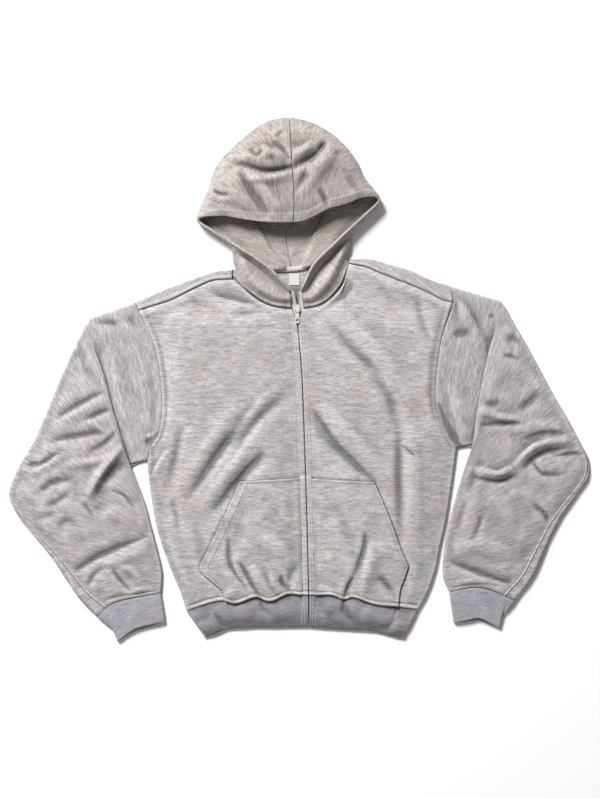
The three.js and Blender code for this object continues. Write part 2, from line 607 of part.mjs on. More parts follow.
function sleeveTop(side) {
  const plan = sleevePlan(side);
  const own = side === "right" ? folds.sleeveRight : folds.sleeveLeft;
  const { low, high, bend, inset } = tuck;
  const flat = plan.value("level", 0);
  const lowAt = (t) => mix(flat, low, tuckShare(t));
  const highAt = (t) => mix(flat, high, tuckShare(t));
  const middleAt = (t) => (lowAt(t) + highAt(t)) / 2;
  const profile = [
    { rest: -6, reach: 1, out: 0, level: lowAt },
    { rest: -3.6, reach: 1, out: 1, level: (t) => (lowAt(t) + middleAt(t)) / 2 },
    { rest: -1.2, reach: 1, out: 0, level: middleAt },
    { rest: 1.2, reach: 0, out: 0, level: middleAt },
    { rest: 3.6, reach: 0, out: -1, level: (t) => (middleAt(t) + highAt(t)) / 2 },
    { rest: 6, reach: 0, out: 0, level: highAt },
  ];
  const tuckPoint = ({ rest, reach, out }, t) => {
    const shift = mix(rest, reach * tuckDepth(t) + out * bend, tuckShare(t));
    return plan.at(0, t).addScaledVector(plan.outward(t), shift);
  };
  const rows = [
    ...[0, 0.4, 0.75].map((share) => ({ head: share })),
    ...profile.map((fold) => ({ fold })),
    ...steps(sleeveStations).slice(1).map((share) => ({ s: share * plan.last })),
  ];
  const cells = 7;
  return rows.map(({ head, fold, s }) => {
    const station = head !== undefined ? head - 1 : fold ? 0 : s;
    const isLast = s === plan.last;
    const length = plan.at(station, 0).distanceTo(plan.at(station, 1));
    const seamIn = head === undefined && !fold ? plan.value("seamIn", s) : 0;
    const place = (t) => {
      if (fold) return tuckPoint(fold, t);
      if (head === undefined) return plan.at(s - (isLast ? 0.004 : 0), t);
      const p = plan.at(-1, t).lerp(tuckPoint(profile[0], t), head);
      return head ? p : p.addScaledVector(plan.outward(t), seam / 2);
    };
    const level = (t, p) => {
      if (fold) return fold.level(t);
      if (head !== undefined) return mix(mix(armholeLevel, flat, 1 - ease(0, 0.1, t)), lowAt(t), head);
      const settled = mix(highAt(t), plan.value("level", s), ease(0.2, 2.6, s));
      const ends = ease(0, 1, s) * ease(0, 0.6, plan.last - s);
      const inside = ease(3, 18, Math.min(t * length - seamIn, (1 - t) * length));
      return Math.max(4, settled + ends * inside * foldHeight(own, p.x, p.y));
    };
    const underTuck = fold && fold !== profile[5];
    const endRise = underTuck ? 0 : (plan.endLevel(station) - backLevel) / 2;
    const startRise = (plan.startLevel(station) - backLevel) / 2;
    const cutIn = head !== undefined ? inset * head : underTuck ? inset : 0;
    const from = seamIn + seamSpace(seamIn);
    const to = tubeLength(length, startRise) - seam / 2;
    return acrossSteps(length, from, to, cells).map((distance) => {
      const spot = tubePoint(distance, length, startRise);
      const t = Math.min(spot.along, length - cutIn) / length;
      const p = place(t);
      const top = level(t, p);
      const nearStart = ease(6, 2.5, spot.along);
      const left = length - cutIn - Math.min(spot.along, length - cutIn);
      let z = mix(top, backLevel + startRise + Math.max(spot.up, edgeSpace), nearStart);
      if (endRise > 0) {
        const share = clamp(left / endRise);
        const arc = backLevel + endRise * (1 + Math.sqrt(1 - (1 - share) ** 2));
        z = mix(z, Math.max(arc, backLevel + endRise + edgeSpace), ease(8, 3, left));
      }
      return p.setZ(z);
    });
  });
}

function sleeveUnder(side) {
  const plan = sleevePlan(side);
  const stations = [-1, -0.5, ...steps(sleeveStations).map((share) => share * plan.last)];
  return stations.map((s) => {
    const length = plan.at(s, 0).distanceTo(plan.at(s, 1));
    const startRise = (plan.startLevel(s) - backLevel) / 2;
    const endRise = (plan.endLevel(s) - backLevel) / 2;
    const full = tubeLength(length, startRise);
    const seamIn = plan.value("seamIn", s);
    return acrossSteps(length, -full + seam / 2, seamIn - seamSpace(seamIn), 5).map((distance) => {
      const spot = tubePoint(distance, length, startRise);
      const t = spot.along / length;
      const shift = s === -1 ? 0.002 : s === plan.last ? -0.004 : 0;
      const p = plan.at(s + shift, t);
      let z = backLevel + startRise + spot.up;
      if (distance < 0) {
        z = Math.min(z, backLevel + startRise - edgeSpace);
        const left = length - spot.along;
        const share = clamp(left / endRise);
        const arc = backLevel + endRise * (1 - Math.sqrt(1 - (1 - share) ** 2));
        if (left < endRise) z = Math.min(arc, backLevel + endRise - edgeSpace);
      }
      return p.setZ(Math.max(backLevel, z));
    });
  });
}

// Columns for a ribbed wall: a crest and a groove by turns over the top
function ribColumns(length) {
  const count = 2 * Math.max(2, Math.round(length / ribPitch));
  return steps(count);
}

// A ribbed cuff: a ring that starts at the sleeve's two end rows and closes in to the mouth
function cuff(side, topRow, underRow) {
  const end = line(sleeves[side].cuffEnd);
  const over = polyline(topRow);
  const below = polyline(underRow);
  const rise = (bandLevel - bandBackLevel) / 2;
  const rows = [0, 0.5, 1];
  const crests = ribColumns(over.length - 12);
  const overShares = crests.map((share) => mix(6, over.length - 6, share) / over.length);
  const turns = [0.35, 2, 4];
  const list = [
    ...turns.map((d) => ({ over: true, share: d / over.length })),
    ...overShares.map((share) => ({ over: true, share })),
    ...turns.slice().reverse().map((d) => ({ over: true, share: 1 - d / over.length })),
    ...[0.01, 0.04, 0.25, 0.5, 0.75, 0.96, 0.99].map((share) => ({ over: false, share })),
  ];
  const full = tubeLength(end.length, rise);
  const points = list.map((spot) =>
    rows.map((row) => {
      const start = spot.over ? over.at(spot.share) : below.at(spot.share);
      const distance = spot.over ? spot.share * full : -(1 - spot.share) * full;
      const mouth = tubePoint(distance, end.length, rise);
      const p = end.at(mouth.along / end.length).setZ(bandBackLevel + rise + mouth.up);
      const down = p.clone().sub(start).setZ(0).normalize().multiplyScalar(seam * 1.4);
      start.add(down).setZ(Math.max(bandBackLevel, start.z));
      return start.lerp(p, row);
    }));
  const first = turns.length;
  const raise = (i) => (i >= first && i < first + crests.length && (i - first) % 2 ? ribRise : 0);
  return { points, raise };
}

// The waistband: one strip from zip to zip round the back, hung from the lowest rows of the body
function waistband(frontEdges, backEdge) {
  const rise = (bandLevel - bandBackLevel) / 2;
  const middle = bandBackLevel + rise;
  const points = [];
  const crest = [];
  const push = (top, end, z, isCrest) => {
    const drop = end.clone().sub(top).setZ(0).normalize().multiplyScalar(seam * 1.4);
    points.push([top.clone().add(drop).setZ(z), end.clone().setZ(z)]);
    crest.push(isCrest);
  };
  const frontPart = (side) => {
    const hem = polyline(frontEdges[side].map((p) => p.clone().setZ(0)));
    const end = line(outline[side].bandEnd);
    const shares = ribColumns(hem.length - 8).map((share) => share * (1 - 6 / hem.length));
    return { hem, end, shares };
  };
  const pushFront = (side, backwards) => {
    const { hem, end, shares } = frontPart(side);
    const order = backwards ? shares.slice().reverse() : shares;
    order.forEach((share, k) => push(hem.at(share), end.at(share), bandLevel, k % 2 === 1));
  };
  const pushTurn = (side, order) => {
    const { hem, end } = frontPart(side);
    for (const degrees of order) {
      const turn = THREE.MathUtils.degToRad(degrees);
      const reach = (length) => 1 - (rise * (1 - Math.cos(turn))) / length;
      push(hem.at(reach(hem.length)), end.at(reach(end.length)), middle + rise * Math.sin(turn), false);
    }
  };
  pushFront("right", false);
  pushTurn("right", [60, 20, -20, -60]);
  const backHemLine = polyline(backEdge.map((p) => p.clone().setZ(0)));
  const end = line(bandBackEnd);
  for (const share of steps(10)) {
    const inside = mix(0.025, 0.975, share);
    push(backHemLine.at(inside), end.at(inside), bandBackLevel, false);
  }
  pushTurn("left", [-60, -20, 20, 60]);
  pushFront("left", true);
  return { points, raise: (i) => (crest[i] ? ribRise : 0) };
}

// One hood half: a smooth net through its rows, with what lies on the surface kept flat
function hood(side) {
  const own = side === "right" ? folds.hoodRight : folds.hoodLeft;
  const net = hoodRows[side].map((row) => {
    const spot = (name) => point(row[name + "X"], row[name + "Y"], row[name + "Z"]);
    const fold = spot("fold");
    const end = spot("seam");
    const flat = end.z < 2;
    const gap = fold.distanceTo(end);
    const under = fold.clone().lerp(end, flat ? Math.min(0.4, 7 / gap) : 0.34);
    const middle = fold.clone().lerp(end, flat ? 0.55 : 0.67);
    if (flat) under.z = middle.z = backLevel;
    return [spot("face"), spot("dip"), spot("roll"), fold, under, middle, end];
  });
  const across = steps(11);
  const lines = net.map((row) => {
    const run = new THREE.CatmullRomCurve3(row, false, "centripetal");
    return across.map((share) => run.getPoint(share));
  });
  const alongRuns = across.map((_, k) =>
    new THREE.CatmullRomCurve3(lines.map((row) => row[k]), false, "centripetal"));
  alongRuns[alongRuns.length - 1] = stepped(lines.map((row) => row[row.length - 1]));
  const along = steps(24);
  return along.map((share) =>
    alongRuns.map((run) => {
      const p = run.getPoint(share);
      const crown = ease(14, 26, p.z);
      p.z += crown * foldHeight(own, p.x, p.y);
      return p.setZ(Math.max(backLevel, p.z));
    }));
}

function zipTape(side) {
  const sign = side === "right" ? -1 : 1;
  const straight = line(zipLine);
  const openEdge = side === "right"
    ? [[-3.6, 80, tapeLevel], [-8, 101, 3], [-14, 117, 4], [-14.5, 135, 6], [-15.5, 147, 8.6]]
    : [[-3.6, 80, tapeLevel], [-2, 101, 3], [2, 117, 4], [1.5, 135, 6], [-1.5, 147, 8.4]];
  const open = line(openEdge);
  const rows = [
    ...steps(12).map((share) => straight.at(share).setZ(tapeLevel)),
    ...steps(7).slice(1).map((share) => open.at(share)),
  ];
  return [0, 0.5, 1].map((share) =>
    rows.map((p, k) => {
      const opening = ease(12, 15, k);
      const start = mix(seam / 2, -1.5, opening);
      return p.clone().add(point(sign * (start + share * tapeWidth), 0, 0));
    }));
}

// Solids for joining and cutting
function solid(geometry) {
  const { position } = geometry.attributes;
  const index = geometry.index?.array ?? Array.from({ length: position.count }, (_, k) => k);
  const mesh = new wasm.Mesh({
    numProp: 3,
    vertProperties: new Float32Array(position.array),
    triVerts: new Uint32Array(index),
  });
  mesh.merge();
  return new wasm.Manifold(mesh);
}
function geometryOf(manifold) {
  const mesh = manifold.getMesh();
  const geometry = new THREE.BufferGeometry();
  geometry.setAttribute("position", new THREE.Float32BufferAttribute(mesh.vertProperties, mesh.numProp));
  geometry.setIndex(Array.from(mesh.triVerts));
  return geometry;
}

function roundedPlate(width, length, thick, radius, hole) {
  const w = width / 2;
  const shape = new THREE.Shape();
  shape.moveTo(-w + radius, -length);
  shape.absarc(w - radius, -length + radius, radius, -Math.PI / 2, 0);
  shape.absarc(w - radius, -radius, radius, 0, Math.PI / 2);
  shape.absarc(-w + radius, -radius, radius, Math.PI / 2, Math.PI);
  shape.absarc(-w + radius, -length + radius, radius, Math.PI, 1.5 * Math.PI);
  if (hole) {
    const ring = new THREE.Path();
    ring.absarc(0, -length + hole + 2, hole, 0, 2 * Math.PI, true);
    shape.holes.push(ring);
  }
  const geometry = new THREE.ExtrudeGeometry(shape, { depth: thick, bevelEnabled: false, curveSegments: 6 });
  return geometry.translate(0, 0, -thick / 2);
}

// The slider's plate with two ears; the pull's barrel turns between them
const axisY = slider.y - 3.4;
function zipSlider() {
  const body = roundedPlate(slider.width, slider.length, slider.top - slider.base, 2.4, 0);
  body.translate(slider.x, slider.y + slider.length / 2, (slider.top + slider.base) / 2);
  let made = solid(body);
  for (const sign of [-1, 1]) {
    const lug = new THREE.BoxGeometry(ear.thick, 5, ear.rise + 1);
    lug.translate(slider.x + sign * (slider.width / 2 - ear.thick / 2), axisY, slider.top + ear.rise / 2 - 0.5);
    made = made.add(solid(lug));
  }
  return geometryOf(made);
}
function zipPull() {
  const innerWidth = slider.width - 2 * ear.thick - 2 * seam;
  const barrel = new THREE.CylinderGeometry(pull.barrel, pull.barrel, innerWidth, 16);
  barrel.rotateZ(Math.PI / 2).translate(slider.x, axisY, pull.lift);
  const neck = new THREE.BoxGeometry(innerWidth, 5, pull.thick).translate(slider.x, axisY - 2.5, pull.lift);
  const plate = roundedPlate(pull.width, pull.length - 4, pull.thick, 2, pull.hole);
  plate.translate(slider.x, axisY - 4, pull.lift);
  return geometryOf(solid(barrel).add(solid(neck)).add(solid(plate)));
}

function neckTape() {
  const run = line([[-58, 185], [napeX, 185.5], [10, 189]]);
  return steps(10).map((share) =>
    [-5, 5].map((offset) => run.at(share).add(point(0, offset, fleece + seam + trim / 2))));
}
function neckLabel() {
  const z = fleece + seam + trim / 2;
  return steps(2).map((u) =>
    steps(2).map((v) =>
      point(label.x + label.width * (u - 0.5), label.y + label.length * (v - 0.5), z)));
}

const flip = (points) => points.slice().reverse();
const faceUp = (side, points) => (side === "right" ? points : flip(points));
const sides = ["right", "left"];

// Nearly flat facets are merged before the seams are cut, and slivers after it
const flatTolerance = 0.04;
const cutTolerance = 0.001;
const largest = (body) => body.decompose().sort((a, b) => b.volume() - a.volume())[0];
const merged = (body, tolerance) => largest(body.setTolerance(tolerance).simplify(tolerance));

const pieces = new Map();
const make = (name, geometry, finish) =>
  pieces.set(name, { body: merged(solid(geometry), flatTolerance).setTolerance(cutTolerance), finish });

const backPanel = back();
const frontEdges = {};
make("back", cloth(backPanel.points, fleece, { active: backPanel.active }), grey);
for (const side of sides) {
  const panel = front(side);
  frontEdges[side] = panel.map((column) => column[0]);
  make("front_" + side, cloth(faceUp(side, flip(panel)), fleece), grey);
  make("pocket_" + side, cloth(faceUp(side, flip(pocket(side))), fleece), grey);
  const top = sleeveTop(side);
  const under = sleeveUnder(side);
  make("sleeve_" + side + "_top", cloth(faceUp(side, top), fleece), grey);
  make("sleeve_" + side + "_under", cloth(faceUp(side, under), fleece), grey);
  const band = cuff(side, top[top.length - 1], under[under.length - 1]);
  const count = band.points.length;
  const raise = side === "right" ? band.raise : (i) => band.raise(count - 1 - i);
  make("cuff_" + side, cloth(faceUp(side, band.points), rib, { closed: true, raise }), ribGrey);
  make("hood_" + side, cloth(faceUp(side, hood(side)), fleece), grey);
  make("zip_tape_" + side, cloth(faceUp(side, flip(zipTape(side))), trim), white);
}
const hemBand = waistband(frontEdges, backPanel.points.map((column) => column[0]));
make("waistband", cloth(hemBand.points, rib, { raise: hemBand.raise }), ribGrey);
make("zip_slider", zipSlider(), white);
make("zip_pull", zipPull(), white);
make("neck_tape", cloth(neckTape(), trim), grey);
make("neck_label", cloth(neckLabel(), trim), white);

// Both pieces at a seam are cut along the same edge: the first stops short of the second,
// moved towards it by the seam's space, and up and down so that no two faces touch
const cutSpace = 1.2 * seam;
const cutLift = 0.25;
function trimTo(name, other, x, y, z = 0) {
  const piece = pieces.get(name);
  const whole = pieces.get(other).body;
  const moved = whole.translate([x * cutSpace, y * cutSpace, z * cutSpace]);
  for (const cutter of [whole, moved, moved.translate([0, 0, cutLift]), moved.translate([0, 0, -cutLift])])
    piece.body = piece.body.subtract(cutter);
  piece.body = largest(piece.body);
}
for (const side of sides) {
  const out = side === "right" ? -1 : 1;
  trimTo("front_" + side, "back", 0, -1);
  trimTo("sleeve_" + side + "_top", "front_" + side, out, 0);
  trimTo("sleeve_" + side + "_top", "back", out, 0);
  trimTo("sleeve_" + side + "_under", "back", out, 0);
  trimTo("sleeve_" + side + "_top", "sleeve_" + side + "_under", -0.9 * out, 0.5);
  trimTo("hood_" + side, "back", 0, 1);
  trimTo("hood_" + side, "back", 0, 0, 1);
  trimTo("hood_" + side, "front_" + side, 0, 1);
}
trimTo("front_left", "front_right", 1, 0);
trimTo("hood_left", "hood_right", 1, 0);

for (const [name, { body, finish }] of pieces) add(name, geometryOf(merged(body, cutTolerance)), finish);

hoodie.position.set(centre.x, centre.y, 0);
hoodie.updateMatrixWorld(true);

export default hoodie;
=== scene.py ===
# A heather grey zip up hoodie, laid flat on its back and seen from straight above
import math
import bpy
import numpy as np
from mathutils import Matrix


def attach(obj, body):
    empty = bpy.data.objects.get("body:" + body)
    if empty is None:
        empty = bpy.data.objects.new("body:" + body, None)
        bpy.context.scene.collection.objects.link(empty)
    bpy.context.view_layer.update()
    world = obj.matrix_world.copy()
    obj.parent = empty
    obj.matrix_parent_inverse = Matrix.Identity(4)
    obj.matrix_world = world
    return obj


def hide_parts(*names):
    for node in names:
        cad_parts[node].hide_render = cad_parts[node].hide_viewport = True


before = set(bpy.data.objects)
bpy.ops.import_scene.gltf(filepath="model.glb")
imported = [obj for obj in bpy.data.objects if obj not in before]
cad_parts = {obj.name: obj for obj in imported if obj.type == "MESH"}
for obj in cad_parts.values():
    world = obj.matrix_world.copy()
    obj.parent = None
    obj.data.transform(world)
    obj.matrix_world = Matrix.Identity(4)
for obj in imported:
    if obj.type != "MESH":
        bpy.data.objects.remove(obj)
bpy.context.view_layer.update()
print("frame loaded")

mm = 0.001
centre = (3.0, 1.55)  # from the outlines' own origin to the middle of the garment

# Cloth, trim and levels, the same as in the solids
cloth = {"fleece": 2.0, "rib": 2.4, "trim": 1.0, "seam": 0.3, "edgeSpace": 0.5}
level = {
    "back": 1.0, "bandBack": 1.2, "front": 6.4, "seam": 6.5, "armhole": 5.6,
    "band": 5.8, "zipClear": 4.9, "tape": 3.0, "pocket": 2.6,
}
tuck = {"low": 4.3, "high": 9.9, "bend": 1.4, "depth": 17.0, "inset": 10.0}


def rows(columns, values):
    names = columns.split()
    return [dict(zip(names, row)) for row in values]


# Outlines, x y along each seam in millimetres, the wearer's right first (-X), from the hem up
outline = {
    "right": {
        "side": [(-193, -394), (-203, -363), (-220, -322), (-235, -281), (-246, -241), (-258, -159), (-259, -137)],
        "armhole": [(-259, -137), (-256, -120), (-244, -101), (-237, -74), (-235, -37), (-247, 52), (-275, 116)],
        "shoulder": [(-275, 116), (-247, 125), (-222, 133), (-171, 158), (-149, 167), (-116, 169)],
        "fold": [(-280, 129), (-254, 140), (-222, 154), (-186, 167), (-147, 180), (-116, 184)],
        "neck": [(-116, 169), (-103, 159), (-86, 143), (-65, 129), (-43, 121.5), (-15.5, 118)],
        "zip": [(13.4, -368), (11.4, -273), (5.4, -77), (1.4, 13), (-1.6, 50), (-4.4, 80), (-8, 101), (-15.5, 118)],
        "hem": [(13.4, -368), (-21, -366), (-52, -378), (-76, -371), (-110, -382), (-133, -377), (-193, -394)],
        "bandEnd": [(13.4, -422), (-86, -423), (-123, -426), (-149, -435), (-161, -439)],
        "pocketInner": [(4, -368), (2, -273), (-1, -169)],
        "pocketTop": [(-1, -169), (-69, -173), (-103, -175)],
        "pocketOuter": [(-128, -377.5), (-133, -360), (-150, -344), (-166, -331)],
        "pocketSlant": [(-166, -331), (-171, -319), (-162, -300), (-123, -220), (-103, -175)],
    },
    "left": {
        "side": [(199, -392), (215, -363), (229, -322), (237, -281), (246, -241), (259, -156), (264, -117)],
        "armhole": [(264, -117), (252, -99), (239, -77), (231, -50), (229, -16), (239, 65), (258, 129)],
        "shoulder": [(258, 129), (239, 135), (212, 149), (144, 176), (110, 190), (82, 196)],
        "fold": [(254, 156), (220, 167), (190, 181), (144, 195), (115, 202), (84, 202)],
        "neck": [(82, 196), (79, 176), (71, 157), (55, 139), (37, 126), (4.5, 118)],
        "zip": [(14.6, -368), (12.6, -273), (6.6, -77), (2.6, 13), (-0.4, 50), (-3.2, 80), (-1, 101), (4.5, 118)],
        "hem": [(14.6, -368), (54, -368), (74, -375), (88, -371), (125, -383), (161, -387), (199, -392)],
        "bandEnd": [(14.6, -422), (67, -426), (122, -429), (149, -436), (174, -441)],
        "pocketInner": [(24, -368), (22, -273), (19, -170)],
        "pocketTop": [(19, -170), (67, -173), (125, -176)],
        "pocketOuter": [(166, -388), (169, -360), (176, -339), (183, -319)],
        "pocketSlant": [(183, -319), (169, -286), (156, -249), (139, -207), (125, -176)],
    },
}
nape = (-15, 185)
backHem = [(-193, -394), (-100, -386), (14, -382), (110, -386), (199, -392)]
bandBackEnd = [(-161, -439), (-149, -434), (-123, -425), (-86, -422), (14, -421), (67, -425), (122, -428),
               (149, -435), (174, -441)]
zipLine = [(14, -420), (14, -368), (12, -273), (6, -77), (2, 13), (-3.6, 80)]

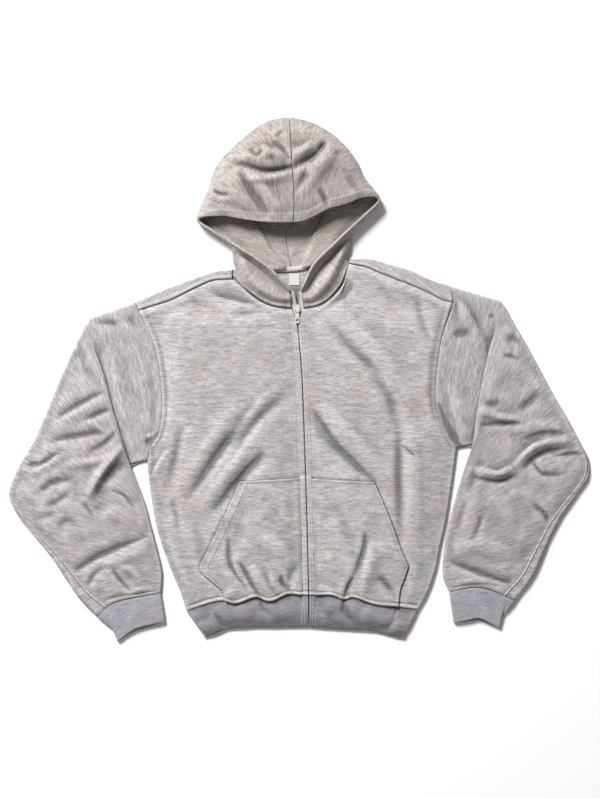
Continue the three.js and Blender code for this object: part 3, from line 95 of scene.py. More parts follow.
# Folds run smoothly from 0 through 1 to 2. A fold is wider on its left by the share skew, and
# its crease is 2 for a round fold and 1 for one that comes to a line
foldColumns = "x0 y0 x1 y1 x2 y2 width height skew crease"
folds = {
    "right": rows(foldColumns, [
        (-82, -50, -133, -118, -195, -207, 10, -5.7, 0, 2),
        (-103, -37, -161, -118, -218, -207, 15, 3.5, 0, 2),
        (-25, -25, -72, -67, -116, -118, 11, -4.3, 0, 2),
        (-59, -122, -98, -164, -150, -227, 9.5, -6.2, 0.2, 1.8),
        (-65, -84, -116, -152, -174, -227, 10, 3.8, 0, 2),
        (-48, -23, -93, -71, -123, -105, 9, 2.4, 0, 2),
        (-200, -77, -210, -118, -224, -179, 9, -3, 0, 2),
        (-254, -169, -242, -149, -225, -123, 7, 5.4, -0.5, 1.6),
        (-218, -207, -212, -232, -208, -261, 6, -1.6, 0, 2),
        (-166, 157, -113, 137, -67, 128, 9, -6.2, 0.3, 1.7),
        (-123, 113, -93, 111, -62, 118, 8, -2, 0, 2),
        (-195, 140, -181, 133, -167, 123, 6, -1.6, 0, 2),
        (-79, 88, -62, 89, -42, 86, 6, -1.2, 0, 2),
        (-162, -326, -171, -283, -178, -241, 10, -2, 0, 2),
        (-235, -241, -213, -309, -184, -360, 12, 2.2, 0, 2),
    ]),
    "left": rows(foldColumns, [
        (227, -42, 237, -81, 263, -110, 5, 3, 0, 2),
        (18, -55, 59, -111, 130, -179, 10, -6.8, -0.15, 1.8),
        (33, -40, 84, -101, 149, -173, 14, 4.3, 0, 2),
        (50, 91, 101, 38, 135, 8, 10, -3.2, 0, 2),
        (118, 11, 149, -33, 166, -88, 12, -4.6, 0, 2),
        (166, -79, 166, -156, 169, -283, 9, -3.8, 0, 2),
        (84, 96, 135, 35, 173, -30, 16, 4.3, 0, 2),
        (190, -88, 190, -173, 193, -283, 13, 3, 0, 2),
        (174, -113, 184, -123, 196, -133, 3.5, -2.2, 0, 2),
        (183, -108, 193, -118, 201, -128, 3, 1.4, 0, 2),
        (196, 159, 205, 99, 225, 54, 9, -2.7, 0, 2),
        (210, 132, 224, 130, 237, 123, 6, -1.9, 0, 2),
        (88, 164, 72, 144, 43, 125, 9, -6, -0.3, 1.7),
        (33, -88, 50, -125, 84, -156, 12, -1.4, 0, 2),
        (195, -309, 186, -360, 176, -385, 9, 1.6, 0, 2),
    ]),
    "pocketRight": rows(foldColumns, [
        (-122, -266, -120, -314, -89, -360, 6, -4.8, 0.3, 1.6),
        (-106, -309, -89, -339, -65, -377, 6, -6.9, 0.35, 1.4),
        (-86, -317, -65, -351, -43, -380, 9, 5.1, 0, 2),
        (-110, -360, -123, -368, -133, -377, 8, 3, 0, 2),
        (-33, -331, -30, -348, -16, -358, 5, -4.2, 0, 1.8),
        (-48, -326, -45, -346, -28, -366, 6, 3, 0, 2),
        (-94, -207, -106, -258, -116, -309, 11, -2.1, 0, 2),
        (-65, -275, -43, -283, -14, -309, 12, 2.4, 0, 2),
        (-1, -309, -18, -334, -21, -363, 7, -2.1, 0, 2),
    ]),
    "pocketLeft": rows(foldColumns, [
        (110, -258, 106, -292, 86, -343, 6, -4.5, 0.3, 1.6),
        (88, -336, 79, -356, 72, -380, 5, -5.7, 0.3, 1.5),
        (122, -283, 115, -326, 98, -377, 9, 3.9, 0, 2),
        (50, -207, 71, -241, 88, -288, 12, -2.4, 0, 2),
        (30, -351, 47, -360, 60, -373, 7, 2.4, 0, 2),
        (132, -334, 149, -353, 162, -377, 7, -2.7, 0, 2),
    ]),
    "headRight": rows(foldColumns, [
        (-263, -103, -256, -115, -256, -132, 3.5, -3.9, 0, 1.7),
        (-269, -101, -256, -99, -242, -94, 4, 3.1, 0, 1.8),
        (-349, 98, -331, 98, -309, 91, 6, -3.6, 0, 2),
        (-361, 89, -354, 81, -344, 72, 4.5, -2.9, 0, 2),
        (-293, 105, -283, 96, -271, 81, 7, -1.8, 0, 2),
        (-332, 48, -320, -3, -307, -71, 16, 2, 0, 2),
        (-256, 23, -246, -37, -246, -88, 8, -2.1, 0, 2),
    ]),
    "headLeft": rows(foldColumns, [
        (239, -57, 251, -84, 271, -106, 4.5, -5.6, 0, 1.7),
        (258, -43, 271, -77, 285, -105, 7, 3.6, 0, 2),
        (254, 147, 281, 113, 310, 55, 8, 5.9, -0.5, 1.7),
        (319, 108, 327, 105, 337, 103, 4, -3.6, 0, 2),
        (302, 137, 315, 140, 331, 133, 5, -3.1, 0, 2),
        (254, 79, 271, 76, 290, 81, 7, -2.5, 0, 2),
        (246, -11, 264, -37, 285, -71, 12, 2.1, 0, 2),
    ]),
    "sleeveRight": rows(foldColumns, [
        (-375, 57, -358, 14, -339, -20, 11, -4.2, 0, 2),
        (-331, -21, -371, -43, -412, -67, 6, -4.5, -0.4, 1.7),
        (-409, -77, -368, -54, -327, -33, 8, 3.1, 0, 2),
        (-317, -50, -341, -60, -365, -71, 5, -3.6, -0.3, 1.7),
        (-363, -72, -346, -81, -329, -91, 4, 4.5, 0, 1.6),
        (-312, -89, -332, -110, -358, -123, 4.5, -4.2, 0, 1.7),
        (-426, -108, -378, -99, -334, -91, 6, -4.2, 0.4, 1.7),
        (-467, -145, -439, -144, -412, -125, 5, -4.8, -0.2, 1.7),
        (-453, -159, -426, -145, -399, -128, 5, 3.1, 0, 2),
        (-399, -149, -358, -142, -320, -132, 6, 3.4, 0.3, 1.8),
        (-446, -193, -419, -176, -385, -169, 7, -3.4, 0, 2),
        (-436, -217, -412, -207, -388, -188, 6, -2.8, 0, 2),
        (-360, -203, -337, -162, -300, -115, 9, 10.1, 0.45, 1.5),
        (-334, -179, -317, -156, -297, -142, 9, -3.6, 0, 2),
        (-320, -188, -298, -200, -280, -222, 4, -2.8, 0, 1.7),
        (-371, -210, -361, -220, -351, -234, 5, -2.2, 0, 2),
        (-388, -329, -331, -298, -261, -268, 8, -7.6, 0.45, 1.5),
        (-358, -339, -310, -309, -259, -288, 9, 3.6, 0, 2),
        (-368, -360, -344, -327, -312, -317, 6, -3.9, 0, 2),
        (-320, -322, -305, -343, -283, -366, 5, -4.5, 0, 1.8),
        (-310, -319, -286, -326, -269, -346, 6, 3.4, 0, 2),
        (-416, -251, -395, -242, -371, -256, 7, -2.5, 0, 2),
        (-460, -227, -436, -234, -412, -227, 7, -2.5, 0, 2),
        (-341, -241, -315, -227, -281, -241, 12, 2.8, 0, 2),
        (-307, -377, -276, -363, -242, -360, 7, 2.5, 0, 2),
    ]),
    "sleeveLeft": rows(foldColumns, [
        (300, -54, 336, -67, 378, -72, 6, 5.9, 0.4, 1.6),
        (305, -79, 339, -77, 375, -74, 4, -3.1, 0, 1.8),
        (370, -54, 390, -37, 404, -20, 8, -3.4, 0, 2),
        (312, -40, 326, -43, 339, -37, 7, -2.5, 0, 2),
        (343, 38, 356, 38, 373, 30, 5, -2.5, 0, 2),
        (339, 65, 365, 69, 390, 57, 9, -2, 0, 2),
        (380, -103, 414, -93, 448, -93, 4.5, -4.8, 0.2, 1.7),
        (455, -105, 400, -113, 360, -149, 7, 9, 0.4, 1.6),
        (360, -149, 334, -162, 295, -152, 8, 8.4, 0.35, 1.6),
        (458, -116, 409, -127, 375, -154, 5, -3.6, 0, 1.8),
        (370, -162, 336, -174, 295, -167, 5, -4.8, 0, 1.7),
        (429, -132, 456, -128, 485, -128, 3.5, -3.6, 0, 1.7),
        (390, -137, 411, -161, 445, -162, 5, -3.4, 0, 1.8),
        (309, -135, 295, -166, 283, -196, 8, -4.2, 0, 2),
        (281, -207, 273, -230, 264, -258, 7, -2.5, 0, 2),
        (288, -278, 302, -251, 307, -230, 5, -2.2, 0, 2),
        (392, -210, 414, -230, 422, -247, 5, -2.5, 0, 2),
        (254, -310, 305, -331, 368, -353, 8, -6.4, 0.25, 1.7),
        (258, -288, 305, -283, 360, -297, 14, 4.2, 0, 2),
        (264, -349, 309, -349, 356, -363, 8, 3.6, 0, 2),
        (348, -88, 373, -84, 407, -77, 8, 2.2, 0, 2),
        (339, -207, 365, -196, 399, -193, 12, 2.2, 0, 2),
    ]),
    "hoodRight": rows(foldColumns, [
        (-113, 371, -65, 378, -14, 375, 9, 6, 0, 2),
        (-106, 363, -55, 349, -1, 358, 5.5, -12, 0.2, 1.6),
        (-96, 336, -55, 336, -11, 346, 6, 4.8, 0, 2),
        (-88, 387, -74, 377, -62, 385, 6, -6.6, 0, 2),
        (-47, 402, -30, 385, -16, 366, 5, -6.6, 0, 1.8),
        (-67, 394, -55, 383, -48, 373, 5, 4.5, 0, 2),
        (-43, 407, -30, 422, -16, 439, 4.5, -6.9, 0, 1.7),
        (-57, 416, -45, 426, -35, 439, 7, 3.3, 0, 2),
        (-105, 351, -76, 303, -52, 273, 9, -6.9, 0, 2),
        (-77, 341, -52, 303, -28, 276, 9, 3.6, 0, 2),
        (-152, 322, -137, 312, -120, 309, 3.5, -5.1, 0, 1.6),
        (-156, 310, -133, 302, -116, 298, 5, 2.4, 0, 2),
        (-128, 295, -89, 280, -52, 268, 9, -2.4, 0, 2),
    ]),
    "hoodLeft": rows(foldColumns, [
        (-14, 354, 9, 366, 30, 383, 6.5, -8.4, 0.2, 1.7),
        (30, 383, 38, 394, 47, 409, 6, -5.1, 0, 1.8),
        (-13, 344, 16, 354, 42, 375, 8, 3.9, 0, 2),
        (45, 402, 23, 371, -6, 317, 6, -4.5, 0, 1.8),
        (55, 388, 37, 358, 4, 314, 8, 3.9, 0, 2),
        (-13, 419, -1, 426, 13, 429, 6, 4.5, 0, 2),
        (-14, 375, 6, 385, 23, 399, 8, 5.1, 0, 2),
        (55, 378, 67, 385, 79, 382, 5, -2.7, 0, 2),
        (30, 320, 40, 303, 43, 290, 6, -2.7, 0, 2),
        (76, 354, 88, 329, 105, 310, 9, -2.4, 0, 2),
    ]),
    "band": rows(foldColumns, [
        (-147, -396, -136, -411, -123, -426, 6, -3, 0.2, 1.6),
        (-160, -410, -150, -420, -142, -432, 9, 2.2, 0, 2),
        (162, -407, 149, -421, 132, -428, 6, -3, -0.2, 1.6),
        (176, -412, 164, -424, 152, -434, 9, 2.2, 0, 2),
        (-66, -372, -60, -390, -50, -404, 7, -2.4, 0, 2),
        (-104, -382, -96, -398, -84, -412, 8, 1.8, 0, 2),
        (74, -376, 76, -394, 88, -410, 7, -2.2, 0, 2),
        (120, -384, 112, -400, 108, -418, 8, 1.7, 0, 2),
        (30, -380, 44, -398, 60, -410, 9, -1.4, 0, 2),
    ]),
}

# Sleeve sections from the tuck's edge to the cuff
sleeveColumns = "outerX outerY innerX innerY level seamIn"
sleeves = {
    "right": {
        "edge": [(-360, 96), (-349, 48), (-332, -4), (-319, -54), (-303, -105), (-290, -150)],
        "sections": rows(sleeveColumns, [
            (-360, 96, -290, -150, 6.6, 0),
            (-380, 60, -284, -162, 7, 0),
            (-399, 18, -276, -183, 7.2, 0),
            (-423, -37, -269, -201, 7, 0),
            (-448, -99, -262, -222, 6.8, 0),
            (-478, -150, -257, -242, 6.6, 0),
            (-494, -203, -251, -264, 6.5, 0),
            (-473, -241, -246, -283, 6.5, 6),
            (-439, -281, -241, -303, 6.5, 11),
            (-409, -322, -236, -326, 6.5, 15),
            (-383, -363, -236, -344, 6.5, 18),
            (-344, -405, -238, -364, 6.4, 20),
        ]),
        "cuffTop": [(-344, -405), (-327, -387), (-307, -378), (-273, -371), (-238, -364)],
        "cuffEnd": [(-310, -446), (-298, -439), (-281, -430), (-256, -422), (-230, -413)],
    },
    "left": {
        "edge": [(343, 125), (334, 91), (324, 57), (309, -11), (299, -67), (293, -116)],
        "sections": rows(sleeveColumns, [
            (343, 125, 293, -116, 6.6, 0),
            (361, 94, 286, -133, 7, 0),
            (385, 52, 280, -150, 7.2, 0),
            (409, 8, 274, -169, 7, 0),
            (433, -37, 268, -188, 6.8, 0),
            (460, -82, 263, -207, 6.7, 0),
            (480, -124, 258, -225, 6.6, 0),
            (492, -152, 253, -246, 6.5, 4),
            (475, -186, 249, -266, 6.5, 9),
            (446, -227, 245, -290, 6.5, 13),
            (422, -275, 242, -314, 6.5, 16),
            (397, -332, 243, -339, 6.5, 18),
            (364, -378, 253, -362, 6.4, 19),
        ]),
        "cuffTop": [(364, -378), (339, -366), (314, -357), (293, -355), (253, -362)],
        "cuffEnd": [(338, -424), (319, -417), (302, -411), (288, -413), (261, -415)],
    },
}

# Hood halves: x y z of the face edge, the dip behind it, the roll, the outer fold and the seam
hoodRows = {
    "right": [
        (-17, 150, 13, -16.5, 142, 10.5, -16, 134, 9, -16, 127, 7.5, -15, 119, 6.5),
        (-33, 168, 20, -37, 157, 10, -43, 139, 13, -47, 131, 9, -49, 124.5, 6.5),
        (-52, 188, 24, -59, 176, 10, -71, 156, 16, -79, 150, 10, -85, 145.5, 6.5),
        (-72, 202, 26, -81, 195, 11, -89, 183, 16, -101, 174, 11, -108, 167, 6.5),
        (-82, 209, 26, -89, 203, 12, -96, 195, 15, -108, 187, 8, -114, 178, 4.6),
        (-94, 216, 26, -99, 210, 13, -105, 203, 14, -113, 196, 5.5, -92, 185.2, 1),
        (-116, 230, 25, -118, 229, 18, -119, 226, 11, -117, 223, 5, -15.3, 186, 1),
        (-147, 249, 23, -149, 250, 17, -150, 251, 11, -149, 252, 5, -24, 227, 1),
        (-173, 268, 22, -173, 269, 17, -174, 269, 11, -173, 270, 5, -27, 261, 1),
        (-128, 274, 30, -142, 285, 31, -157, 293, 20, -166, 298, 5, -25, 295, 1),
        (-103, 269, 34, -115, 292, 37, -140, 319, 26, -156, 320, 5, -23, 329, 1),
        (-72, 264, 36, -86, 295, 40, -116, 346, 30, -142, 360, 5, -21, 375, 1),
        (-42, 262, 37, -47, 298, 41, -65, 375, 32, -93, 411, 5, -20, 408, 1),
        (-28, 262, 37.5, -29, 298, 41, -40, 380, 33, -55, 436, 5, -19.3, 421, 1),
        (-13, 262, 38, -11, 298, 41, -15, 371, 33, -19, 443, 5, -18.5, 431, 1),
    ],
    "left": [
        (0, 150, 13, 2, 142, 10.5, 3, 134, 9, 4, 127, 7.5, 5, 119, 6.5),
        (8, 167, 20, 13, 157, 10, 21, 140, 13, 26, 131, 9, 29.5, 124.5, 6.5),
        (21, 193, 24, 31, 183, 10, 45, 166, 16, 53, 155, 10, 59, 146.5, 6.5),
        (42, 215, 26, 52, 207, 11, 62, 196, 15, 70, 187, 10, 76.5, 180, 6.5),
        (54, 226, 26, 62, 218, 12, 69, 210, 14, 76, 204, 8, 80.5, 197, 4.6),
        (67, 239, 26, 74, 234, 14, 79, 227, 12, 84, 217, 5, 64, 199.6, 1),
        (82, 253, 25, 85, 251, 18, 86, 247, 11, 86, 242, 5, -14.5, 186, 1),
        (106, 275, 23, 108, 274, 17, 108, 272, 11, 106, 271, 5, -23, 227, 1),
        (133, 303, 22, 133, 302, 17, 133, 301, 11, 132, 300, 5, -26, 261, 1),
        (105, 305, 30, 111, 315, 31, 120, 321, 20, 124, 320, 5, -24, 295, 1),
        (76, 293, 34, 82, 314, 36, 96, 337, 25, 106, 343, 5, -22, 329, 1),
        (50, 286, 36, 55, 314, 39, 72, 358, 30, 94, 370, 5, -20, 375, 1),
        (20, 271, 37, 25, 309, 41, 37, 380, 32, 64, 406, 5, -19, 408, 1),
        (3, 264, 37.5, 6, 302, 41, 9, 383, 33, 21, 433, 5, -18.3, 421, 1),
        (-12.4, 262, 38, -10.4, 298, 41, -14.4, 371, 33, -18.4, 443, 5, -17.9, 431, 1),
    ],
}


# Painted shade along creases beside the armpits, in colour only: the line, its width in mm and how dark it is
creaseShadeLines = {
    "right": [([(-264, -99), (-256, -101), (-246, -96), (-238, -90)], 3.0, 0.8),
              ([(-252, -104), (-254, -122), (-259, -134)], 3.2, 0.9)],
    "left": [([(236, -46), (245, -78), (258, -100), (270, -112)], 4.2, 1.1),
             ([(254, -98), (264, -108), (272, -118)], 5.0, 0.8)],
}


def clamp(t):
    return np.clip(t, 0.0, 1.0)


def ease(a, b, t):
    s = clamp((t - a) / (b - a))
    return s * s * (3 - 2 * s)


def mix(a, b, t):
    return a + (b - a) * t


def bell(distance, width):
    return np.exp(-(distance / width) ** 2)


# A smooth curve through points along the first axis, read at places given in points
def spline(points, places):
    p = np.asarray(points, float)
    places = np.asarray(places, float)
    wide = np.concatenate([2 * p[:1] - p[1:2], p, 2 * p[-1:] - p[-2:-1]])
    gap = np.maximum(np.linalg.norm(np.diff(wide, axis=0), axis=-1, keepdims=True) ** 0.5, 1e-4)
    k = np.clip(np.floor(places).astype(int), 0, len(p) - 2)
    t = (places - k).reshape((-1,) + (1,) * (p.ndim - 1))
    p0, p1, p2, p3 = wide[k], wide[k + 1], wide[k + 2], wide[k + 3]
    d0, d1, d2 = gap[k], gap[k + 1], gap[k + 2]
    m1 = ((p1 - p0) / d0 - (p2 - p0) / (d0 + d1) + (p2 - p1) / d1) * d1
    m2 = ((p2 - p1) / d1 - (p3 - p1) / (d1 + d2) + (p3 - p2) / d2) * d1
    return p1 + m1 * t + (3 * (p2 - p1) - 2 * m1 - m2) * t**2 + (2 * (p1 - p2) + m1 + m2) * t**3


# A line that is measured along its length
class Path:
    def __init__(self, points):
        self.points = np.asarray(points, float)
        steps = np.linalg.norm(np.diff(self.points, axis=0), axis=1)
        self.along = np.concatenate([[0], np.cumsum(steps)])
        self.length = self.along[-1]

    def at(self, share):
        goal = clamp(np.asarray(share, float)) * self.length
        return np.stack([np.interp(goal, self.along, self.points[:, c]) for c in range(3)], -1)


def deep(points):
    return [tuple(p) + (0,) * (3 - len(p)) for p in points]


def line(*parts):
    found = []
    for part in parts:
        run = spline(deep(part), np.linspace(0, len(part) - 1, 14 * len(part)))
        found.append(run if not found else run[1:])
    return Path(np.concatenate(found))


# The patch between four lines: bottom and top run with u, start and end run with v
def patch(bottom, top, start, end):
    corners = [bottom.at(0), bottom.at(1), top.at(0), top.at(1)]

    def area(u, v):
        u, v = np.broadcast_arrays(np.asarray(u, float), np.asarray(v, float))
        uu, vv = u[..., None], v[..., None]
        across = mix(bottom.at(u), top.at(u), vv) + mix(start.at(v), end.at(v), uu)
        return across - mix(mix(corners[0], corners[1], uu), mix(corners[2], corners[3], uu), vv)

    return area


def foldField(own, x, y):
    height = np.zeros(np.shape(x))
    for f in own:
        ends = [(f["x0"], f["y0"]), (f["x1"], f["y1"]), (f["x2"], f["y2"])]
        run = spline(ends, np.linspace(0, 2, 11))
        best = np.full(np.shape(x), 1e9)
        along = np.zeros(np.shape(x))
        hand = np.zeros(np.shape(x))
        for k in range(len(run) - 1):
            (ax, ay), (dx, dy) = run[k], run[k + 1] - run[k]
            t = clamp(((x - ax) * dx + (y - ay) * dy) / (dx * dx + dy * dy))
            gx, gy = x - ax - t * dx, y - ay - t * dy
            gap = np.hypot(gx, gy)
            near = gap < best
            best = np.where(near, gap, best)
            along = np.where(near, (k + t) / (len(run) - 1), along)
            hand = np.where(near, np.sign(dx * gy - dy * gx), hand)
        width = f["width"] * (1 + f["skew"] * hand)
        taper = 0.1 + 0.9 * np.sin(math.pi * along) ** 0.8
        height += f["height"] * taper * np.exp(-((best / width) ** f["crease"]))
    return height


# Distance from a line, more than nought on its left
def besideLine(points, x, y):
    run = spline(points, np.linspace(0, len(points) - 1, 8 * len(points)))
    best = np.full(np.shape(x), 1e9)
    found = np.zeros(np.shape(x))
    for (ax, ay), (bx, by) in zip(run[:-1], run[1:]):
        dx, dy = bx - ax, by - ay
        t = clamp(((x - ax) * dx + (y - ay) * dy) / (dx * dx + dy * dy))
        gx, gy = x - ax - t * dx, y - ay - t * dy
        gap = np.hypot(gx, gy)
        found = np.where(gap < best, gap * np.sign(dx * gy - dy * gx), found)
        best = np.minimum(gap, best)
    return found


# Slow, low unevenness of cloth that was smoothed by hand
def rumple(x, y, size, seed, finest=36, coarsest=120):
    draw = np.random.default_rng(seed)
    total = np.zeros(np.shape(x))
    for _ in range(9):
        angle, phase = draw.uniform(0, math.pi), draw.uniform(0, 2 * math.pi)
        wave = draw.uniform(finest, coarsest)
        a = 2 * math.pi * (x * math.cos(angle) + y * math.sin(angle)) / wave
        b = 2 * math.pi * (x * math.sin(angle) - y * math.cos(angle)) / (1.9 * wave)
        total += np.sin(a + phase + 1.5 * np.sin(b + 2 * phase)) * wave / coarsest
    return size * total / 2.5


# Materials
def toLinear(code):
    parts = [int(code[k:k + 2], 16) / 255 for k in (1, 3, 5)]
    return tuple(c / 12.92 if c <= 0.04045 else ((c + 0.055) / 1.055) ** 2.4 for c in parts) + (1.0,)


def addNode(tree, kind, links=(), values=(), **settings):
    node = tree.nodes.new(kind)
    for name, value in settings.items():
        setattr(node, name, value)
    for socket, value in dict(values).items():
        node.inputs[socket].default_value = value
    for socket, source in dict(links).items():
        tree.links.new(source, node.inputs[socket])
    return node


def newMaterial(name, surface):
    material = bpy.data.materials.new(name)
    material.use_nodes = True
    tree = material.node_tree
    tree.nodes.clear()
    shader = addNode(tree, "ShaderNodeBsdfPrincipled", values=surface)
    output = addNode(tree, "ShaderNodeOutputMaterial", links={"Surface": shader.outputs["BSDF"]})
    output.location.x = 300
    return material, tree, shader


def rampOf(tree, source, stops):
    node = addNode(tree, "ShaderNodeValToRGB", links={"Fac": source})
    elements = node.color_ramp.elements
    while len(elements) < len(stops):
        elements.new(0.5)
    for element, (place, code) in zip(elements, stops):
        element.position = place
        element.color = toLinear(code)
    return node.outputs["Color"]


knit = {
    "streakLength": 13.0, "streakHeight": 2.2,  # mm, light and dark stretches of a melange yarn
    "fineLength": 4.0, "fineHeight": 1.2,  # mm, single fibres bundled in a course
    "slowLength": 34.0, "slowHeight": 6.0,  # mm, courses knitted from one cone of yarn
    "cloud": 70.0,  # mm, slow change of tone from dyeing and wear
    "wale": 1.9,  # mm, a jersey's stitch columns are 1.1 mm, drawn coarser so that they show
    "fuzz": 0.9,  # mm, loose fibres on the face
}


# Knitted melange cotton: soft and matt, with short streaks along the courses of the knit
def melangeKnit(name, tones, tints, contrast=1.0, bumpSize=0.5):
    material, tree, shader = newMaterial(name, {
        "Roughness": 0.95, "IOR": 1.45, "Sheen Weight": 0.08, "Sheen Roughness": 0.5,
        "Specular IOR Level": 0.2,
    })
    grain = addNode(tree, "ShaderNodeUVMap", uv_map="grain").outputs["UV"]

    def noise(length, height, detail, roughness):
        scale = {"Scale": (1 / (length * mm), 1 / (height * mm), 1)}
        place = addNode(tree, "ShaderNodeMapping", links={"Vector": grain}, values=scale).outputs["Vector"]
        values = {"Scale": 1.0, "Detail": detail, "Roughness": roughness, "Distortion": 0.25}
        return addNode(tree, "ShaderNodeTexNoise", links={"Vector": place}, values=values).outputs["Fac"]

    streaks = noise(knit["streakLength"], knit["streakHeight"], 2.0, 0.5)
    fine = noise(knit["fineLength"], knit["fineHeight"], 1.0, 0.5)
    cloud = noise(knit["cloud"], knit["cloud"], 3.0, 0.6)
    fuzz = noise(knit["fuzz"], knit["fuzz"], 2.0, 0.7)
    slow = noise(knit["slowLength"], knit["slowHeight"], 2.0, 0.5)
    both = addNode(tree, "ShaderNodeMath", operation="MULTIPLY_ADD", links={0: fine, 2: streaks}, values={1: 0.7})
    mixed = addNode(tree, "ShaderNodeMath", operation="MULTIPLY_ADD", links={0: slow, 2: both.outputs[0]}, values={1: 0.6})
    spread = 0.29 / contrast
    shade = addNode(tree, "ShaderNodeMapRange", links={"Value": mixed.outputs[0]},
                    values={"From Min": 1.15 - spread, "From Max": 1.15 + spread}).outputs["Result"]
    tone = rampOf(tree, shade, [(0.0, tones[0]), (0.5, tones[1]), (1.0, tones[2])])
    tint = rampOf(tree, cloud, [(0.36, tints[0]), (0.5, "#ffffff"), (0.64, tints[1])])
    colour = addNode(tree, "ShaderNodeMix", data_type="RGBA", blend_type="MULTIPLY", values={"Factor": 1.0})
    tree.links.new(tone, colour.inputs[6])
    tree.links.new(tint, colour.inputs[7])
    # Painted shade: the colour is darkened by a per-point attribute, most deep between folds and where a panel asks
    # for it
    paintedShade = addNode(tree, "ShaderNodeAttribute", attribute_name="paintedShade").outputs["Fac"]
    kept = addNode(tree, "ShaderNodeMapRange", links={"Value": paintedShade},
                   values={"From Min": -0.3, "From Max": 1.0, "To Min": 1.1, "To Max": 0.42}).outputs["Result"]
    shaded = addNode(tree, "ShaderNodeVectorMath", operation="SCALE", links={0: colour.outputs[2], "Scale": kept})
    tree.links.new(shaded.outputs["Vector"], shader.inputs["Base Color"])
    scale = {"Scale": (1 / (knit["wale"] * mm), 1 / (knit["wale"] * mm), 1)}
    place = addNode(tree, "ShaderNodeMapping", links={"Vector": grain}, values=scale).outputs["Vector"]
    wales = addNode(tree, "ShaderNodeTexWave", links={"Vector": place}, wave_type="BANDS", bands_direction="X",
                    values={"Scale": 0.32, "Distortion": 2.2, "Detail": 1.0})
    relief = addNode(tree, "ShaderNodeMath", operation="MULTIPLY_ADD",
                     links={0: wales.outputs["Fac"], 2: fuzz}, values={1: 0.5})
    bump = addNode(tree, "ShaderNodeBump", links={"Height": relief.outputs[0]},
                   values={"Strength": bumpSize, "Distance": 0.0006})
    tree.links.new(bump.outputs["Normal"], shader.inputs["Normal"])
    return material


lilacAndPink = ("#f8f7fd", "#fef6f6")
finish = {
    "fleece": melangeKnit("cottonFleeceJersey", ("#8e8b8b", "#aeabab", "#c9c6c6"), lilacAndPink),
    "head": melangeKnit("cottonFleeceJerseyCrosswise", ("#8a8686", "#a9a5a6", "#c4c0c0"), lilacAndPink),
    # The same jersey, a darker and warmer copy for the hood: painted shade with a warm tint from the light on the hood
    "hood": melangeKnit("cottonFleeceJerseyPaintedWarmLight", ("#88827f", "#a6a09d", "#c0bab7"), ("#fbf9fb", "#fef6f2"), 0.95),
    "rib": melangeKnit("oneByOneRib", ("#88858c", "#a29fa6", "#b9b6be"), lilacAndPink, 0.8),
    "tape": melangeKnit("wovenCottonTape", ("#aeaaa7", "#c4c0bc", "#d6d3cf"), ("#ffffff", "#ffffff"), 0.6, 0.3),
}


def plainFinish(name, code, surface, grainSize, strength):
    material, tree, shader = newMaterial(name, {"Base Color": toLinear(code), **surface})
    place = addNode(tree, "ShaderNodeTexCoord").outputs["Object"]
    grain = addNode(tree, "ShaderNodeTexNoise", links={"Vector": place},
                    values={"Scale": 1 / (grainSize * mm), "Detail": 3.0})
    rough = addNode(tree, "ShaderNodeMapRange", links={"Value": grain.outputs["Fac"]}, values={
        "To Min": surface["Roughness"] - 0.06, "To Max": surface["Roughness"] + 0.08,
    })
    tree.links.new(rough.outputs["Result"], shader.inputs["Roughness"])
    bump = addNode(tree, "ShaderNodeBump", links={"Height": grain.outputs["Fac"]},
                   values={"Strength": strength, "Distance": 0.0003})
    tree.links.new(bump.outputs["Normal"], shader.inputs["Normal"])
    return material


# Painted zinc die casting: smooth enamel with a slight orange peel
finish["zinc"] = plainFinish("whitePaintedZinc", "#c6c3c1", {"Roughness": 0.35, "IOR": 1.5, "Coat Weight": 0.2}, 2.0, 0.08)
# Jersey tape over the neck seam, in the cloth's own shade
finish["binding"] = melangeKnit("jerseyNeckTape", ("#9b9594", "#b3adac", "#c9c3c1"), lilacAndPink, 0.9, 0.3)
# Moulded acetal teeth, painted a mid grey for the shade in the narrow slot
finish["teeth"] = plainFinish("mouldedAcetalTeeth", "#a39e9c", {"Roughness": 0.45, "IOR": 1.48}, 1.0, 0.1)
# Spun polyester sewing thread, a little lighter than the cloth
finish["thread"] = plainFinish("spunPolyesterThread", "#cdc7c9", {"Roughness": 0.7, "IOR": 1.5}, 0.5, 0.3)
# The same thread on the hood's face hem, where it sinks into the pile: a darker, warmer copy, painted shade as on the
# hood's cloth
finish["shadedThread"] = plainFinish("spunPolyesterThreadPaintedShade", "#b3adab", {"Roughness": 0.8, "IOR": 1.5}, 0.5, 0.3)
# Woven satin label, bare
finish["label"] = plainFinish("wovenSatinLabel", "#c9c5c2", {"Roughness": 0.5, "IOR": 1.5, "Sheen Weight": 0.2}, 0.6, 0.25)
print("materials made")


# Builds a mesh fast from arrays, with grain coordinates in metres and smooth shading
def buildMesh(name, corners, faces, uvs, material, smooth=True, paintedShade=None):
    mesh = bpy.data.meshes.new(name)
    mesh.vertices.add(len(corners))
    mesh.vertices.foreach_set("co", ((corners + (centre[0], centre[1], 0)) * mm).astype(np.float32).ravel())
    mesh.loops.add(faces.size)
    mesh.loops.foreach_set("vertex_index", faces.astype(np.int32).ravel())
    mesh.polygons.add(len(faces))
    mesh.polygons.foreach_set("loop_start", np.arange(0, faces.size, faces.shape[1], dtype=np.int32))
    mesh.polygons.foreach_set("loop_total", np.full(len(faces), faces.shape[1], np.int32))
    mesh.update(calc_edges=True)
    if uvs is not None:
        layer = mesh.uv_layers.new(name="grain")
        layer.data.foreach_set("uv", (uvs * mm).astype(np.float32).ravel())
    mesh.polygons.foreach_set("use_smooth", np.full(len(faces), smooth))
    # Painted shade, stored per point for the material to darken the colour
    if paintedShade is not None:
        mesh.attributes.new("paintedShade", "FLOAT", "POINT").data.foreach_set("value", paintedShade.astype(np.float32))
    mesh.validate()
    mesh.materials.append(material)
    obj = bpy.data.objects.new(name, mesh)
    bpy.context.scene.collection.objects.link(obj)
    return obj


